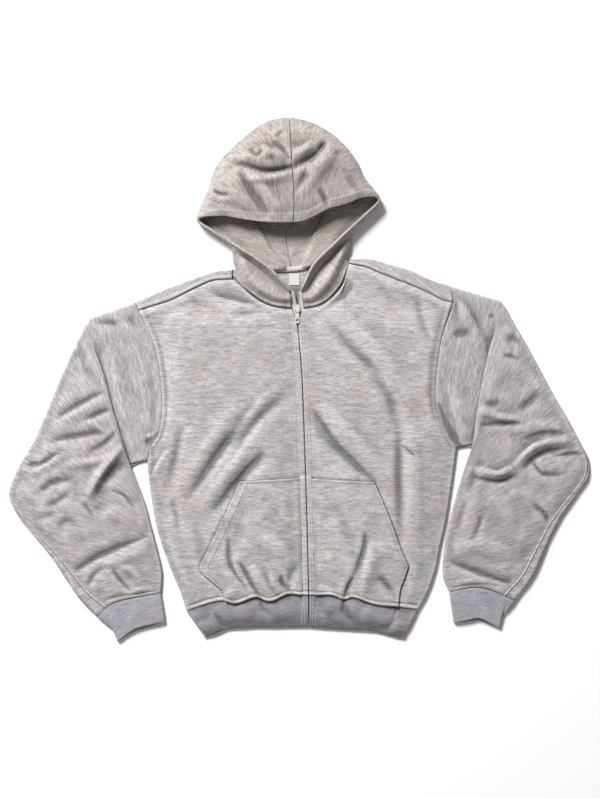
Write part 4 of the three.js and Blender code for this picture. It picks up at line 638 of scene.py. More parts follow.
# Unit normals at the grid's points, and the direction out over its free edges
def gridNormals(points, closed, active):
    p = np.concatenate([points, points[:1]]) if closed else points
    cells = np.cross(p[1:, 1:] - p[:-1, :-1], p[:-1, 1:] - p[1:, :-1])
    cells /= np.maximum(np.linalg.norm(cells, axis=-1, keepdims=True), 1e-9)
    middle = (p[1:, 1:] + p[:-1, :-1] + p[:-1, 1:] + p[1:, :-1]) / 4
    mask = active[..., None].astype(float)
    normal, centres, count = np.zeros_like(p), np.zeros_like(p), np.zeros(p.shape[:2] + (1,))
    for a in (slice(0, -1), slice(1, None)):
        for b in (slice(0, -1), slice(1, None)):
            normal[a, b] += cells * mask
            centres[a, b] += middle * mask
            count[a, b] += mask
    if closed:
        for grid in (normal, centres, count):
            grid[0] += grid[-1]
        normal, centres, count = normal[:-1], centres[:-1], count[:-1]
    normal /= np.maximum(np.linalg.norm(normal, axis=-1, keepdims=True), 1e-9)
    out = points - centres / np.maximum(count, 1)
    out -= normal * np.sum(out * normal, -1, keepdims=True)
    out /= np.maximum(np.linalg.norm(out, axis=-1, keepdims=True), 1e-9)
    return normal, out, count[..., 0]


# Mean over a square of cells, by sums along each side
def blurred(z, reach):
    for axis in (0, 1):
        z = np.moveaxis(z, axis, 0)
        wide = np.concatenate([z[:1]] * (reach + 1) + [z] + [z[-1:]] * reach)
        total = np.cumsum(wide, axis=0)
        z = np.moveaxis((total[2 * reach + 1:] - total[:-2 * reach - 1]) / (2 * reach + 1), 0, axis)
    return z


# How deep a point lies between the folds beside it, as painted shade that darkens the creases
def paintedCreaseShadeOf(z):
    near = blurred(blurred(z, 2), 2) - z
    broad = blurred(blurred(z, 6), 6) - z
    return np.clip(0.5 * near / 0.7 + 0.5 * broad / 2.4, -0.3, 1)


# A cloth wall with rounded edges on a grid of middle points
def wall(name, points, thick, grain, material, closed=False, active=None, raised=0.0, shade=0.0, tight=False):
    ni, nj = points.shape[:2]
    cellsI = ni if closed else ni - 1
    if active is None:
        active = np.ones((cellsI, nj - 1), bool)
    normal, out, count = gridNormals(points, closed, active)
    free = (count > 0) & (count < 4) & ~np.broadcast_to(tight, (ni, nj))
    thick = np.broadcast_to(np.asarray(thick, float), (ni, nj))[..., None]
    half = np.where(free, 0.4, 0.5)[..., None] * thick
    inward = np.where(free, 0.3, 0.0)[..., None] * thick * out
    lift = np.broadcast_to(np.asarray(raised, float), (ni, nj))[..., None]
    outer = points + normal * (half + lift) - inward
    inner = points - normal * half - inward
    outer[..., 2] = np.maximum(outer[..., 2], 0)
    inner[..., 2] = np.maximum(inner[..., 2], 0)
    grid = np.arange(ni * nj).reshape(ni, nj)
    ring = np.concatenate([grid, grid[:1]]) if closed else grid
    ii, jj = np.nonzero(active)
    around = ((0, 0), (1, 0), (1, 1), (0, 1))
    quad = np.stack([ring[ii + a, jj + b] for a, b in around], -1)
    size = ni * nj
    faces = [quad, quad[:, ::-1] + size]
    wide = np.concatenate([grain, grain[:1] + (2 * grain[-1] - grain[-2] - grain[:1])]) if closed else grain
    uvQuad = np.stack([wide[ii + a, jj + b] for a, b in around], 1)
    uvs = [uvQuad, uvQuad[:, ::-1]]
    padded = np.zeros((cellsI + 2, nj + 1), bool)
    padded[1:-1, 1:-1] = active
    if closed:
        padded[0, 1:-1], padded[-1, 1:-1] = active[-1], active[0]
    for k, (di, dj) in enumerate(((0, -1), (1, 0), (0, 1), (-1, 0))):
        bare = ~padded[ii + 1 + di, jj + 1 + dj]
        a, b = quad[bare, k], quad[bare, (k + 1) % 4]
        ua, ub = uvQuad[bare, k], uvQuad[bare, (k + 1) % 4]
        faces += [np.stack([a, a + 2 * size, b + 2 * size, b], -1),
                  np.stack([a + 2 * size, a + size, b + size, b + 2 * size], -1)]
        uvs += [np.stack([ua, ua, ub, ub], 1), np.stack([ua, ua, ub, ub], 1)]
    corners = np.concatenate([outer.reshape(-1, 3), inner.reshape(-1, 3), points.reshape(-1, 3)])
    faces, uvs = np.concatenate(faces), np.concatenate(uvs)
    used, numbers = np.unique(faces, return_inverse=True)
    # Painted shade per point: darker deep between folds, plus the shade a panel gives; none on the inner face, half on
    # the edge points
    paintedShade = np.clip(paintedCreaseShadeOf(points[..., 2] + lift[..., 0]) + shade, -0.3, 1).ravel()
    paintedShade = np.concatenate([paintedShade, np.zeros(size), paintedShade * 0.5])
    obj = buildMesh(name, corners[used], numbers.reshape(faces.shape), uvs.reshape(-1, 2), material,
                    paintedShade=paintedShade[used])
    return {"obj": obj, "middle": points, "outer": outer, "normal": normal, "active": active, "closed": closed}


def ride(obj, slot, *nodes, body="garment"):
    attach(obj, body)
    if nodes:
        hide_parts(*nodes)
    return obj


# Flat size and area of a grid's cloth, in metres
def cutOf(made):
    p = np.concatenate([made["middle"], made["middle"][:1]]) if made["closed"] else made["middle"]
    cell = np.cross(p[1:, 1:] - p[:-1, :-1], p[:-1, 1:] - p[1:, :-1])
    area = 0.5 * np.sum(np.linalg.norm(cell, axis=-1) * made["active"]) * mm * mm
    alongI = np.linalg.norm(np.diff(p, axis=0), axis=-1).sum(0).max() * mm
    alongJ = np.linalg.norm(np.diff(p, axis=1), axis=-1).sum(1).max() * mm
    return (round(float(alongI), 3), round(float(alongJ), 3)), float(area)


def declare(made):
    (width, length), area = cutOf(made)
    width = max(width, 0.011)  # the narrowest cut that can be stated, a zip tape's
    area = min(area, width * length)
    print("  %s cut %.0f x %.0f mm, %.4f m2" % (made["obj"].name, width / mm, length / mm, area))


# Points and normals at a distance in from one edge of a grid: edge is i0, i1, j0 or j1
def insetLine(made, edge, distance, span=(0.0, 1.0)):
    outer, normal = made["outer"], made["normal"]
    if edge[0] == "j":
        outer, normal = outer.swapaxes(0, 1), normal.swapaxes(0, 1)
    if edge[1] == "1":
        outer, normal = outer[::-1], normal[::-1]
    along = np.concatenate([np.zeros((1, outer.shape[1])),
                            np.cumsum(np.linalg.norm(np.diff(outer, axis=0), axis=-1), axis=0)])
    first, last = (int(round(s * (outer.shape[1] - 1))) for s in span)
    points, normals = [], []
    for c in range(first, last + 1):
        place = np.interp(distance, along[:, c], np.arange(len(along)))
        k = min(int(place), len(along) - 2)
        points.append(mix(outer[k, c], outer[k + 1, c], place - k))
        normals.append(mix(normal[k, c], normal[k + 1, c], place - k))
    return np.array(points), np.array(normals)


stitch = {"pitch": 3.3, "length": 2.8, "width": 0.95, "height": 0.45}


# A row of stitches: each one a small spindle that dips into the cloth at both ends
def stitchRow(lines, name, slot="fleece", thread="thread"):
    corners, faces = [], []
    for points, normals in lines:
        path = Path(points)
        count = int(path.length / stitch["pitch"])
        for k in range(count):
            start = (k + 0.1) * stitch["pitch"]
            shares = np.array([start, start + stitch["length"] / 2, start + stitch["length"]]) / path.length
            spots = path.at(shares)
            spread = np.interp(shares[1] * path.length, path.along, np.arange(len(points)))
            up = normals[int(round(spread))]
            ahead = spots[2] - spots[0]
            side = np.cross(up, ahead)
            side /= max(np.linalg.norm(side), 1e-9)
            base = len(corners)
            for spot, wide, high in zip(spots, (0.45, 1.0, 0.45), (-0.25, 1.0, -0.25)):
                w = side * wide * stitch["width"] / 2
                top = spot + up * stitch["height"] * high
                corners += [top - w * 0.55, top + w * 0.55, spot + w - up * 0.25, spot - w - up * 0.25]
            for ring in (0, 4):
                for c in range(4):
                    n = (c + 1) % 4
                    faces.append((base + ring + c, base + ring + 4 + c, base + ring + 4 + n, base + ring + n))
            faces += [(base, base + 1, base + 2, base + 3), (base + 11, base + 10, base + 9, base + 8)]
    obj = buildMesh(name, np.array(corners), np.array(faces), None, finish[thread])
    return ride(obj, slot)


# Rows that are close together near both ends and even between
def graded(length, near, cell, far=None):
    far = near if far is None else far
    middle = np.linspace(near[-1], length - far[-1], max(2, int((length - near[-1] - far[-1]) / cell) + 1))
    return np.concatenate([near[:-1], middle, length - np.array(far[:-1])[::-1]])


edgeSteps = [0, 1.0, 2.0, 3.1, 4.3, 5.6, 7.0, 8.6, 10.6, 13.0]
turnAngles = np.radians(np.linspace(0, 90, 8))
nearTurn = 1 - np.cos(turnAngles)
turnRise = np.sin(turnAngles)


def pocketFolds(side, x, y):
    return foldField(folds["pocketRight" if side == "right" else "pocketLeft"], x, y)


# The upper layer stands a little off the back between the zip, the seams and the side
def frontTop(side, x, y):
    cut = outline[side]
    edge = np.interp(y, [q[1] for q in cut["side"]], [abs(q[0]) for q in cut["side"]])
    middle = np.interp(y, [q[1] for q in cut["zip"][:6]], [q[0] for q in cut["zip"][:6]])
    loft = 4.6 * ease(10, 75, np.abs(x - middle)) * ease(0, 60, edge - np.abs(x))
    loft = loft * mix(0.6, 1, ease(-372, -320, y)) * ease(150, 90, y)
    lift = level["front"] + loft + foldField(folds[side], x, y) + pocketFolds(side, x, y)
    lift = lift + rumple(x, y, 0.55, 3 if side == "right" else 4, 30, 110)
    return np.maximum(lift, 4.2 + 0.2 * (lift - 4.2))


placket = {"width": 9.4, "rows": (6.3, 11.5), "rise": 1.5}


def frontPanel(side):
    cut = outline[side]
    outer = line(cut["side"], cut["armhole"])
    zipEdge = line(cut["zip"])
    area = patch(line(cut["hem"]), line(cut["neck"][::-1], cut["shoulder"][::-1]), zipEdge, outer)
    underarm = line(cut["side"]).length / outer.length
    rise = (level["front"] - level["back"]) / 2
    middle = (level["front"] + level["back"]) / 2
    nearSteps = np.array([0, 1, 2, 3, 4.2, 5.2, 6.3, 7.4, 8.2, 9, 9.8, 10.7, 11.5, 12.4, 14, 17])
    inner = np.linspace(0, 1, 104)[1:]
    v = graded(zipEdge.length, edgeSteps, 2.55) / zipEdge.length
    v[-1] -= cloth["seam"] / 2 / zipEdge.length
    wide = np.linalg.norm(zipEdge.at(v) - outer.at(v), axis=-1)
    columns = [d / wide for d in nearSteps]
    columns += [mix(nearSteps[-1] / wide, 1 - 2.2 * rise / wide, share) for share in inner]
    turnAt = len(columns)
    turns = list(zip(nearTurn, turnRise))[::-1]
    columns += [1 - np.maximum(cloth["seam"] / 2, inward * rise) / wide for inward, _ in turns]
    u = np.array(columns)
    vv = np.broadcast_to(v, u.shape)
    p = area(u, vv)
    onSide = 1 - ease(underarm - 0.03, underarm + 0.01, vv)
    z = frontTop(side, p[..., 0], p[..., 1])
    nearZip = np.linalg.norm(p - zipEdge.at(v), axis=-1)
    z = mix(np.maximum(z, level["zipClear"]), z, ease(10, 22, nearZip))
    z = mix(z, level["seam"], ease(0.93, 1, vv))
    outerLevel = mix(level["armhole"], level["front"], onSide)
    z = mix(z, mix(outerLevel, level["seam"], ease(0.93, 1, vv)), ease(0.93, 1, u))
    fromTop = (1 - vv) * zipEdge.length
    fromSide = (1 - u) * wide
    fromHem = vv * zipEdge.length
    beside = placket["rise"] * ease(placket["width"] + 0.6, placket["width"] - 0.6, nearZip) * ease(-164, -168, p[..., 1])
    z += beside + 0.4 * ease(9, 7, nearZip) * ease(0, 1.5, nearZip)
    z -= sum(0.5 * bell(nearZip - row, 1.0) for row in placket["rows"])
    z -= 2.1 * bell(fromTop, 2.4) - 0.5 * bell(fromTop - 9, 4)
    z += (1 - onSide) * (1.3 * bell(fromSide - 3.4, 2) - 0.9 * bell(fromSide, 1.1) - 0.25 * bell(fromSide - 7.6, 1.5))
    z += 1.3 * bell(fromHem - 2.8, 2.0) - 1.3 * bell(fromHem - 6.8, 1.6) - 0.8 * bell(fromHem, 0.9)
    for part in ("pocketTop", "pocketSlant", "pocketOuter"):
        z -= 1.3 * bell(besideLine(cut[part], p[..., 0], p[..., 1]), 2.6) * ease(4, 14, nearZip)
    for k, (inward, up) in enumerate(turns):
        c = turnAt + k
        z[c] = mix(z[c], middle + cloth["seam"] / 2 + rise * up, onSide[c])
    p[..., 2] = z
    grain = p[..., :2].copy()
    # Painted shade along the armpit creases
    shade = sum(0.8 * dark * bell(besideLine(points, p[..., 0], p[..., 1]), width)
                for points, width, dark in creaseShadeLines[side])
    return p, grain, shade


def backPanel():
    right, left = outline["right"], outline["left"]
    start = line(right["side"], right["armhole"] + [(-280, 129)])
    end = line(left["side"], left["armhole"] + [(254, 156)])
    top = line(right["fold"], [(-116, 184), nape], [nape, (84, 202)], left["fold"][::-1])
    area = patch(line(backHem), top, start, end)
    marks = [line(right["fold"]).length / top.length, 1 - line(left["fold"]).length / top.length]
    underarm = line(right["side"]).length / start.length
    rise = (level["seam"] - level["back"]) / 2
    middle = (level["seam"] + level["back"]) / 2
    sideRise = (level["front"] - level["back"]) / 2
    shoulderRight = np.linspace(0, marks[0], 26)[1:]
    neck = np.linspace(marks[0], marks[1], 34)[1:]
    shoulderLeft = np.linspace(marks[1], 1, 26)[1:-1]
    inner = np.concatenate([shoulderRight, neck, shoulderLeft])
    given = np.concatenate([np.full(len(nearTurn), np.nan), inner, np.full(len(nearTurn), np.nan)])
    turn = np.concatenate([nearTurn, np.full(len(inner), np.nan), nearTurn[::-1]])
    curl = np.concatenate([turnRise, np.full(len(inner), np.nan), turnRise[::-1]])
    far = np.arange(len(given)) > len(given) / 2
    seams = {"right": line(right["shoulder"]), "left": line(left["shoulder"])}
    lower = [("flat", share * underarm) for share in np.linspace(0, 1, 60)]
    upper = [("flat", mix(underarm, 1, share)) for share in np.linspace(0, 1, 70)[1:-2]]
    bend = [("bend", k) for k in range(len(nearTurn))][::-1]
    over = [("over", k) for k in range(1, len(nearTurn))]
    wrap = [("wrap", share) for share in (0.3, 0.45, 0.6, 0.72, 0.82, 0.9, 0.95, 1.0)]
    rowList = lower + upper + bend + over + wrap
    onShoulder = (np.nan_to_num(given, nan=0) <= marks[0] + 1e-6) | (np.nan_to_num(given, nan=0) >= marks[1] - 1e-6)
    grid = np.zeros((len(given), len(rowList), 3))
    for j, (kind, value) in enumerate(rowList):
        v = value if kind == "flat" else 1.0
        wide = np.linalg.norm(start.at(v) - end.at(v))
        u = np.where(np.isnan(given), np.maximum(cloth["seam"] / 2, np.nan_to_num(turn) * sideRise) / wide, given)
        u = np.where(np.isnan(given) & far, 1 - u, u)
        tall = np.linalg.norm(area(u, np.zeros_like(u)) - area(u, np.ones_like(u)), axis=-1)
        vv = np.full_like(u, v)
        z = np.full_like(u, level["back"])
        if kind == "bend":
            vv = 1 - nearTurn[value] * rise / tall
            z = np.where(onShoulder, middle - rise * turnRise[value], z)
        p = area(u, vv)
        if kind != "flat":
            flatNeck = area(u, np.minimum(vv, 1 - cloth["seam"] / tall))
            p = np.where(onShoulder[:, None], p, flatNeck)
        if kind in ("over", "wrap"):
            foldPoint = area(u, np.ones_like(u))
            onRight = u < 0.5
            t = np.where(onRight, u / marks[0], (1 - u) / (1 - marks[1]))
            target = np.where(onRight[:, None], seams["right"].at(t), seams["left"].at(t))
            reach = np.linalg.norm(target - foldPoint, axis=-1)
            overlay = 18.0
            share = nearTurn[value] * rise / overlay if kind == "over" else mix(1.2 * rise / overlay, 1, value)
            part = np.minimum(share * (reach - cloth["seam"] / 2), reach - cloth["seam"] / 2) / np.maximum(reach, 1e-6)
            p = np.where(onShoulder[:, None], mix(foldPoint, target, part[:, None]), p)
            lift = middle + rise * turnRise[value] if kind == "over" else level["seam"]
            welt = 0.0 if kind == "over" else 1.7 * bell(value - 0.8, 0.15) - 0.9 * bell(value - 1, 0.04)
            z = np.where(onShoulder, lift + welt, z)
        onSide = 1 - ease(underarm - 0.03, underarm + 0.01, vv)
        if kind in ("flat", "bend"):
            rolled = np.maximum(level["back"], middle - 0.05 - cloth["seam"] / 2 - sideRise * np.nan_to_num(curl))
            z = np.where(np.isnan(given), mix(z, rolled, onSide), z)
        p[:, 2] = z
        grid[:, j] = p
    lastFlat = len(lower) + len(upper) + len(bend) - 1
    neckStart = int(np.argmin(np.abs(np.nan_to_num(given, nan=9) - marks[0])))
    neckEnd = int(np.argmin(np.abs(np.nan_to_num(given, nan=9) - marks[1])))
    active = np.ones((grid.shape[0] - 1, grid.shape[1] - 1), bool)
    active[neckStart:neckEnd, lastFlat:] = False
    # the knit runs on over the fold at the shoulder by the way along the cloth
    grain = grid[..., :2].copy()
    firstBend = len(lower) + len(upper)
    steps = np.linalg.norm(np.diff(grid[:, firstBend - 1:], axis=1), axis=-1)
    grain[:, firstBend:, 1] = grain[:, firstBend - 1:firstBend, 1] + np.cumsum(steps, axis=1)
    return grid, grain, active


def pocketPanel(side):
    cut = outline[side]
    endX = cut["pocketOuter"][0][0]
    innerX = cut["pocketInner"][0][0]
    hem = [q for q in cut["hem"] if min(endX, innerX) < q[0] < max(endX, innerX)]
    bottom = line([cut["pocketInner"][0]] + hem + [cut["pocketOuter"][0]])
    outer = line(cut["pocketOuter"], cut["pocketSlant"])
    inner = line(cut["pocketInner"])
    area = patch(bottom, line(cut["pocketTop"]), inner, outer)
    v = graded(outer.length, edgeSteps, 2.4) / outer.length
    wide = np.linalg.norm(inner.at(v) - outer.at(v), axis=-1)
    hemSteps = [0, 1, 2, 3.2, 5, 7.5, 10, 12, 13.4, 14.6, 15.8, 17, 18.4, 20, 21.2, 22.4, 23.6, 25, 27]
    columns = [mix(0, 1 - hemSteps[-1] / wide, share) for share in np.linspace(0, 1, 58)[:-1]]
    columns += [1 - d / wide for d in hemSteps[::-1]]
    u = np.array(columns)
    vv = np.broadcast_to(v, u.shape)
    p = area(u, vv)
    x, y = p[..., 0], p[..., 1]
    puff = 1.8 * (np.maximum(0, np.sin(np.pi * u)) * np.maximum(0, np.sin(np.pi * vv))) ** 0.6
    puff += rumple(x, y, 0.5, 8, 26, 80)
    slant = ease(line(cut["pocketOuter"]).length / outer.length - 0.02, line(cut["pocketOuter"]).length / outer.length + 0.04, vv)
    fromSide = (1 - u) * wide
    fromTop = (1 - vv) * outer.length
    fromHem = vv * outer.length
    detail = slant * (0.3 * ease(16, 13, fromSide) - 0.45 * bell(fromSide - 15.8, 1.2) - 0.45 * bell(fromSide - 21.2, 1.2))
    detail += 0.7 * bell(fromTop - 1.8, 1.8) - 0.5 * bell(fromTop - 4.6, 1.3) + 0.5 * bell(fromSide - 1.8, 1.6)
    detail += 1.3 * bell(fromHem - 2.8, 2.0) - 1.3 * bell(fromHem - 6.8, 1.6)
    base = frontTop(side, x, y)
    fromZip = u * wide
    rise = mix(1.8, level["pocket"], ease(0, 9, fromZip))
    p[..., 2] = base + rise + np.maximum(0, puff) + np.maximum(detail, -0.4 - np.maximum(0, puff))
    thick = mix(1.4, cloth["fleece"], ease(0, 9, fromZip)) + 0.7 * slant * ease(16.5, 15, fromSide)
    return p, p[..., :2].copy(), thick


class SleevePlan:
    def __init__(self, side):
        own = sleeves[side]
        self.sections = own["sections"]
        tip = outline[side]["fold"][0]
        self.armhole = line((outline[side]["armhole"] + [tip])[::-1])
        self.edge = line(own["edge"])
        self.cuff = line(own["cuffTop"])
        self.last = len(self.sections) - 1
        self.outerEdge = [(s["outerX"], s["outerY"], 0) for s in self.sections]
        self.innerEdge = [(s["innerX"], s["innerY"], 0) for s in self.sections]

    def value(self, name, s):
        return float(np.interp(max(0, s), range(self.last + 1), [q[name] for q in self.sections]))

    def chord(self, s, t):
        a, b = spline(self.outerEdge, [s])[0], spline(self.innerEdge, [s])[0]
        return mix(a, b, np.asarray(t)[..., None])

    def at(self, s, t):
        if s < 0:
            return mix(self.armhole.at(t), self.edge.at(t), s + 1)
        bow = self.edge.at(t) - self.chord(0, t)
        endBow = self.cuff.at(t) - self.chord(self.last, t)
        return self.chord(s, t) + bow * max(0, 1 - s) + endBow * max(0, 1 - (self.last - s) / 2)

    def outward(self, t):
        d = self.at(0.6, t) - self.at(0, t)
        return d / np.linalg.norm(d, axis=-1, keepdims=True)

    def startLevel(self, s):
        return self.value("level", s)

    def endLevel(self, s):
        if s < 0:
            return mix(tuck["low"], level["armhole"], -s)
        return mix(tuck["high"], self.value("level", s), ease(0.2, 2.6, s))


def seamSpace(seamIn):
    return cloth["seam"] / 2 + cloth["edgeSpace"] * ease(9, 4, seamIn)


def tuckShare(t):
    return ease(0.08, 0.32, t)


def tuckDepth(t):
    return (3 + tuck["depth"] * t) * tuckShare(t) * (1 - 0.75 * ease(0.75, 1, t))


# Distances over a strip: close together near both edges, then even
def acrossSteps(length, count):
    near = np.array([0, 0.7, 1.4, 2.2, 3.1, 4.1, 5.3, 6.7, 8.4, 10.4])
    return np.concatenate([near[:-1], np.linspace(near[-1], length - near[-1], count), length - near[:-1][::-1]])


# A point on a flattened tube: distance from the outer edge over the top, less than none below
def tubePoint(distance, length, rise):
    quarter = math.pi / 2 * rise
    d = np.abs(distance)
    full = length - 2 * rise + 2 * quarter
    sign = np.where(distance < 0, -1.0, 1.0)
    left = np.maximum(0, full - d)
    along = np.where(d < quarter, rise * (1 - np.cos(d / rise)),
                     np.where(d > full - quarter, length - rise * (1 - np.cos(left / rise)), rise + d - quarter))
    up = np.where(d < quarter, np.sin(d / rise), np.where(d > full - quarter, np.sin(left / rise), 1.0))
    return along, sign * rise * up


def tubeLength(length, rise):
    return length - 2 * rise + math.pi * rise


# Rows between the given ones, with a number of steps after each
def refine(coarse, counts):
    places = np.concatenate([k + np.arange(n) / n for k, n in enumerate(counts)] + [[len(coarse) - 1]])
    return spline(coarse, places), places


def sleeveTopPanel(side):
    plan = SleevePlan(side)
    own = folds["sleeveRight" if side == "right" else "sleeveLeft"]
    flat = plan.value("level", 0)

    def lowAt(t):
        return mix(flat, tuck["low"], tuckShare(t))

    def highAt(t):
        return mix(flat, tuck["high"], tuckShare(t))

    def middleAt(t):
        return (lowAt(t) + highAt(t)) / 2

    profile = [
        (-6, 1, 0, lowAt), (-3.6, 1, 1, lambda t: (lowAt(t) + middleAt(t)) / 2), (-1.2, 1, 0, middleAt),
        (1.2, 0, 0, middleAt), (3.6, 0, -1, lambda t: (middleAt(t) + highAt(t)) / 2), (6, 0, 0, highAt),
    ]

    def tuckPoint(fold, t):
        rest, reach, out, _ = fold
        shift = mix(rest, reach * tuckDepth(t) + out * tuck["bend"], tuckShare(t))
        return plan.at(0, t) + plan.outward(t) * shift[..., None]

    heads = [0, 0.4, 0.75]
    stations = [k / 13 * plan.last for k in range(1, 14)]
    rowList = [("head", h) for h in heads] + [("fold", k) for k in range(6)] + [("out", s) for s in stations]
    coarse, seamAt, lengths = [], [], []
    for kind, value in rowList:
        station = value - 1 if kind == "head" else 0 if kind == "fold" else value
        length = float(np.linalg.norm(plan.at(station, 0.0) - plan.at(station, 1.0)))
        seamIn = plan.value("seamIn", value) if kind == "out" else 0.0
        underTuck = kind == "fold" and value < 5
        endRise = 0 if underTuck else (plan.endLevel(station) - level["back"]) / 2
        startRise = (plan.startLevel(station) - level["back"]) / 2
        cutIn = tuck["inset"] * value if kind == "head" else tuck["inset"] if underTuck else 0.0
        start = seamIn + seamSpace(seamIn)
        stop = tubeLength(length, startRise) - cloth["seam"] / 2
        distance = start + acrossSteps(stop - start, 92)
        along, up = tubePoint(distance, length, startRise)
        reach = np.minimum(along, length - cutIn)
        t = reach / length
        if kind == "fold":
            p = tuckPoint(profile[value], t)
            top = profile[value][3](t)
        elif kind == "out":
            p = plan.at(value - (0.004 if value == plan.last else 0), t)
            top = mix(highAt(t), plan.value("level", value), ease(0.2, 2.6, value))
        else:
            p = mix(plan.at(-1, t), tuckPoint(profile[0], t), value)
            if value == 0:
                p = p + plan.outward(t) * cloth["seam"] / 2
            top = mix(mix(level["armhole"], flat, 1 - ease(0, 0.1, t)), lowAt(t), value)
        nearStart = ease(6, 2.5, along)
        left = length - cutIn - reach
        z = mix(top, level["back"] + startRise + np.maximum(up, cloth["edgeSpace"]), nearStart)
        if endRise > 0:
            share = clamp(left / endRise)
            arc = level["back"] + endRise * (1 + np.sqrt(1 - (1 - share) ** 2))
            z = mix(z, np.maximum(arc, level["back"] + endRise + cloth["edgeSpace"]), ease(8, 3, left))
        p = p.copy()
        p[..., 2] = z
        coarse.append(p)
        seamAt.append(seamIn)
        lengths.append(length)
    counts = [9, 9, 5, 3, 3, 3, 3, 3] + [13] * len(stations)
    counts = counts[:len(rowList) - 1]
    fine, places = refine(np.array(coarse), counts)
    x, y = fine[..., 0], fine[..., 1]
    station = np.interp(places, range(len(rowList)),
                        [v - 1 if k == "head" else 0 if k == "fold" else v for k, v in rowList])[:, None]
    ends = ease(0, 1, station) * ease(0, 0.6, plan.last - station)
    fromStart = np.linalg.norm(fine[:, :1, :2] - fine[..., :2], axis=-1)
    fromEnd = np.linalg.norm(fine[:, -1:, :2] - fine[..., :2], axis=-1)
    inside = ease(3, 18, np.minimum(fromStart, fromEnd))
    loft = 3.6 * ease(0, 50, fromStart) * ease(0, 50, fromEnd)
    height = loft + foldField(own, x, y) + rumple(x, y, 0.8, 5 if side == "right" else 6, 26, 90)
    height = height * ends * inside
    head = ease(0.05, 0.3, station + 1) * ease(0, -0.2, station)
    onHead = foldField(folds["headRight" if side == "right" else "headLeft"], x, y)
    height += head * inside * np.maximum(-2.0, onHead + rumple(x, y, 0.4, 15, 30, 90))
    alongJ = np.cumsum(np.linalg.norm(np.diff(fine, axis=1, prepend=fine[:, :1]), axis=-1), axis=1)
    seamed = ease(3, 8, np.interp(places, range(len(rowList)), seamAt))[:, None]
    height += seamed * (0.7 * bell(alongJ - 2.4, 1.6) - 0.4 * bell(alongJ - 5.6, 1.3))
    fromCuff = (plan.last - station) * 36
    height += (1.1 * bell(fromCuff - 4.5, 2.6) - 0.9 * bell(fromCuff - 9.5, 2.2)) * inside * (station > 1)
    low = np.where(station > 0.3, 4.0, 0.0)
    fine[..., 2] = np.maximum(fine[..., 2] + height, np.minimum(fine[..., 2], low))
    alongI = np.cumsum(np.linalg.norm(np.diff(fine, axis=0, prepend=fine[:1]), axis=-1), axis=0)
    middleColumn = alongI[:, alongI.shape[1] // 2][:, None]
    grain = np.stack([alongJ, np.broadcast_to(middleColumn, alongJ.shape)], -1)
    edgeT = clamp(np.linalg.norm(fine[..., :2] - fine[:, :1, :2], axis=-1) / np.array(lengths)[0])
    # Painted shade on the sleeve head along the tuck's folded edge
    shade = 0.75 * (ease(2.1, 3, places) ** 1.5 * ease(5.4, 4.9, places))[:, None] * tuckShare(edgeT)
    # Painted shade along the armpit creases, on the sleeve head
    for points, width, dark in creaseShadeLines[side]:
        shade = shade + dark * bell(besideLine(points, x, y), width) * (station < 0)
    return fine, grain, coarse[-1], shade


def sleeveUnderPanel(side):
    plan = SleevePlan(side)
    stations = [-1, -0.5] + [k / 13 * plan.last for k in range(14)]
    coarse = []
    for s in stations:
        length = float(np.linalg.norm(plan.at(s, 0.0) - plan.at(s, 1.0)))
        startRise = (plan.startLevel(s) - level["back"]) / 2
        endRise = (plan.endLevel(s) - level["back"]) / 2
        full = tubeLength(length, startRise)
        seamIn = plan.value("seamIn", s)
        start, stop = -full + cloth["seam"] / 2, seamIn - seamSpace(seamIn)
        distance = start + acrossSteps(stop - start, 36)
        along, up = tubePoint(distance, length, startRise)
        shift = 0.002 if s == -1 else -0.004 if s == plan.last else 0
        p = plan.at(s + shift, along / length).copy()
        z = level["back"] + startRise + up
        left = length - along
        share = clamp(left / endRise)
        arc = level["back"] + endRise * (1 - np.sqrt(1 - (1 - share) ** 2))
        below = np.minimum(z, level["back"] + startRise - cloth["edgeSpace"])
        below = np.where(left < endRise, np.minimum(arc, level["back"] + endRise - cloth["edgeSpace"]), below)
        z = np.where(distance < 0, below, z)
        p[..., 2] = np.maximum(level["back"], z)
        coarse.append(p)
    fine, _ = refine(np.array(coarse), [5, 6] + [7] * 13)
    fine[..., 2] = np.maximum(fine[..., 2], level["back"])
    alongJ = np.cumsum(np.linalg.norm(np.diff(fine, axis=1, prepend=fine[:, :1]), axis=-1), axis=1)
    alongI = np.cumsum(np.linalg.norm(np.diff(fine, axis=0, prepend=fine[:1]), axis=-1), axis=0)
    grain = np.stack([alongJ, np.broadcast_to(alongI[:, 20][:, None], alongJ.shape)], -1)
    return fine, grain, coarse[-1]


ribs = {"pitch": 2.8, "rise": 0.42, "samples": 4}  # mm; a 1x1 rib's wales are 1.6 mm, drawn coarser


def ribRaise(distance):
    return ribs["rise"] * (0.5 - 0.5 * np.cos(2 * math.pi * distance / ribs["pitch"])) ** 0.8


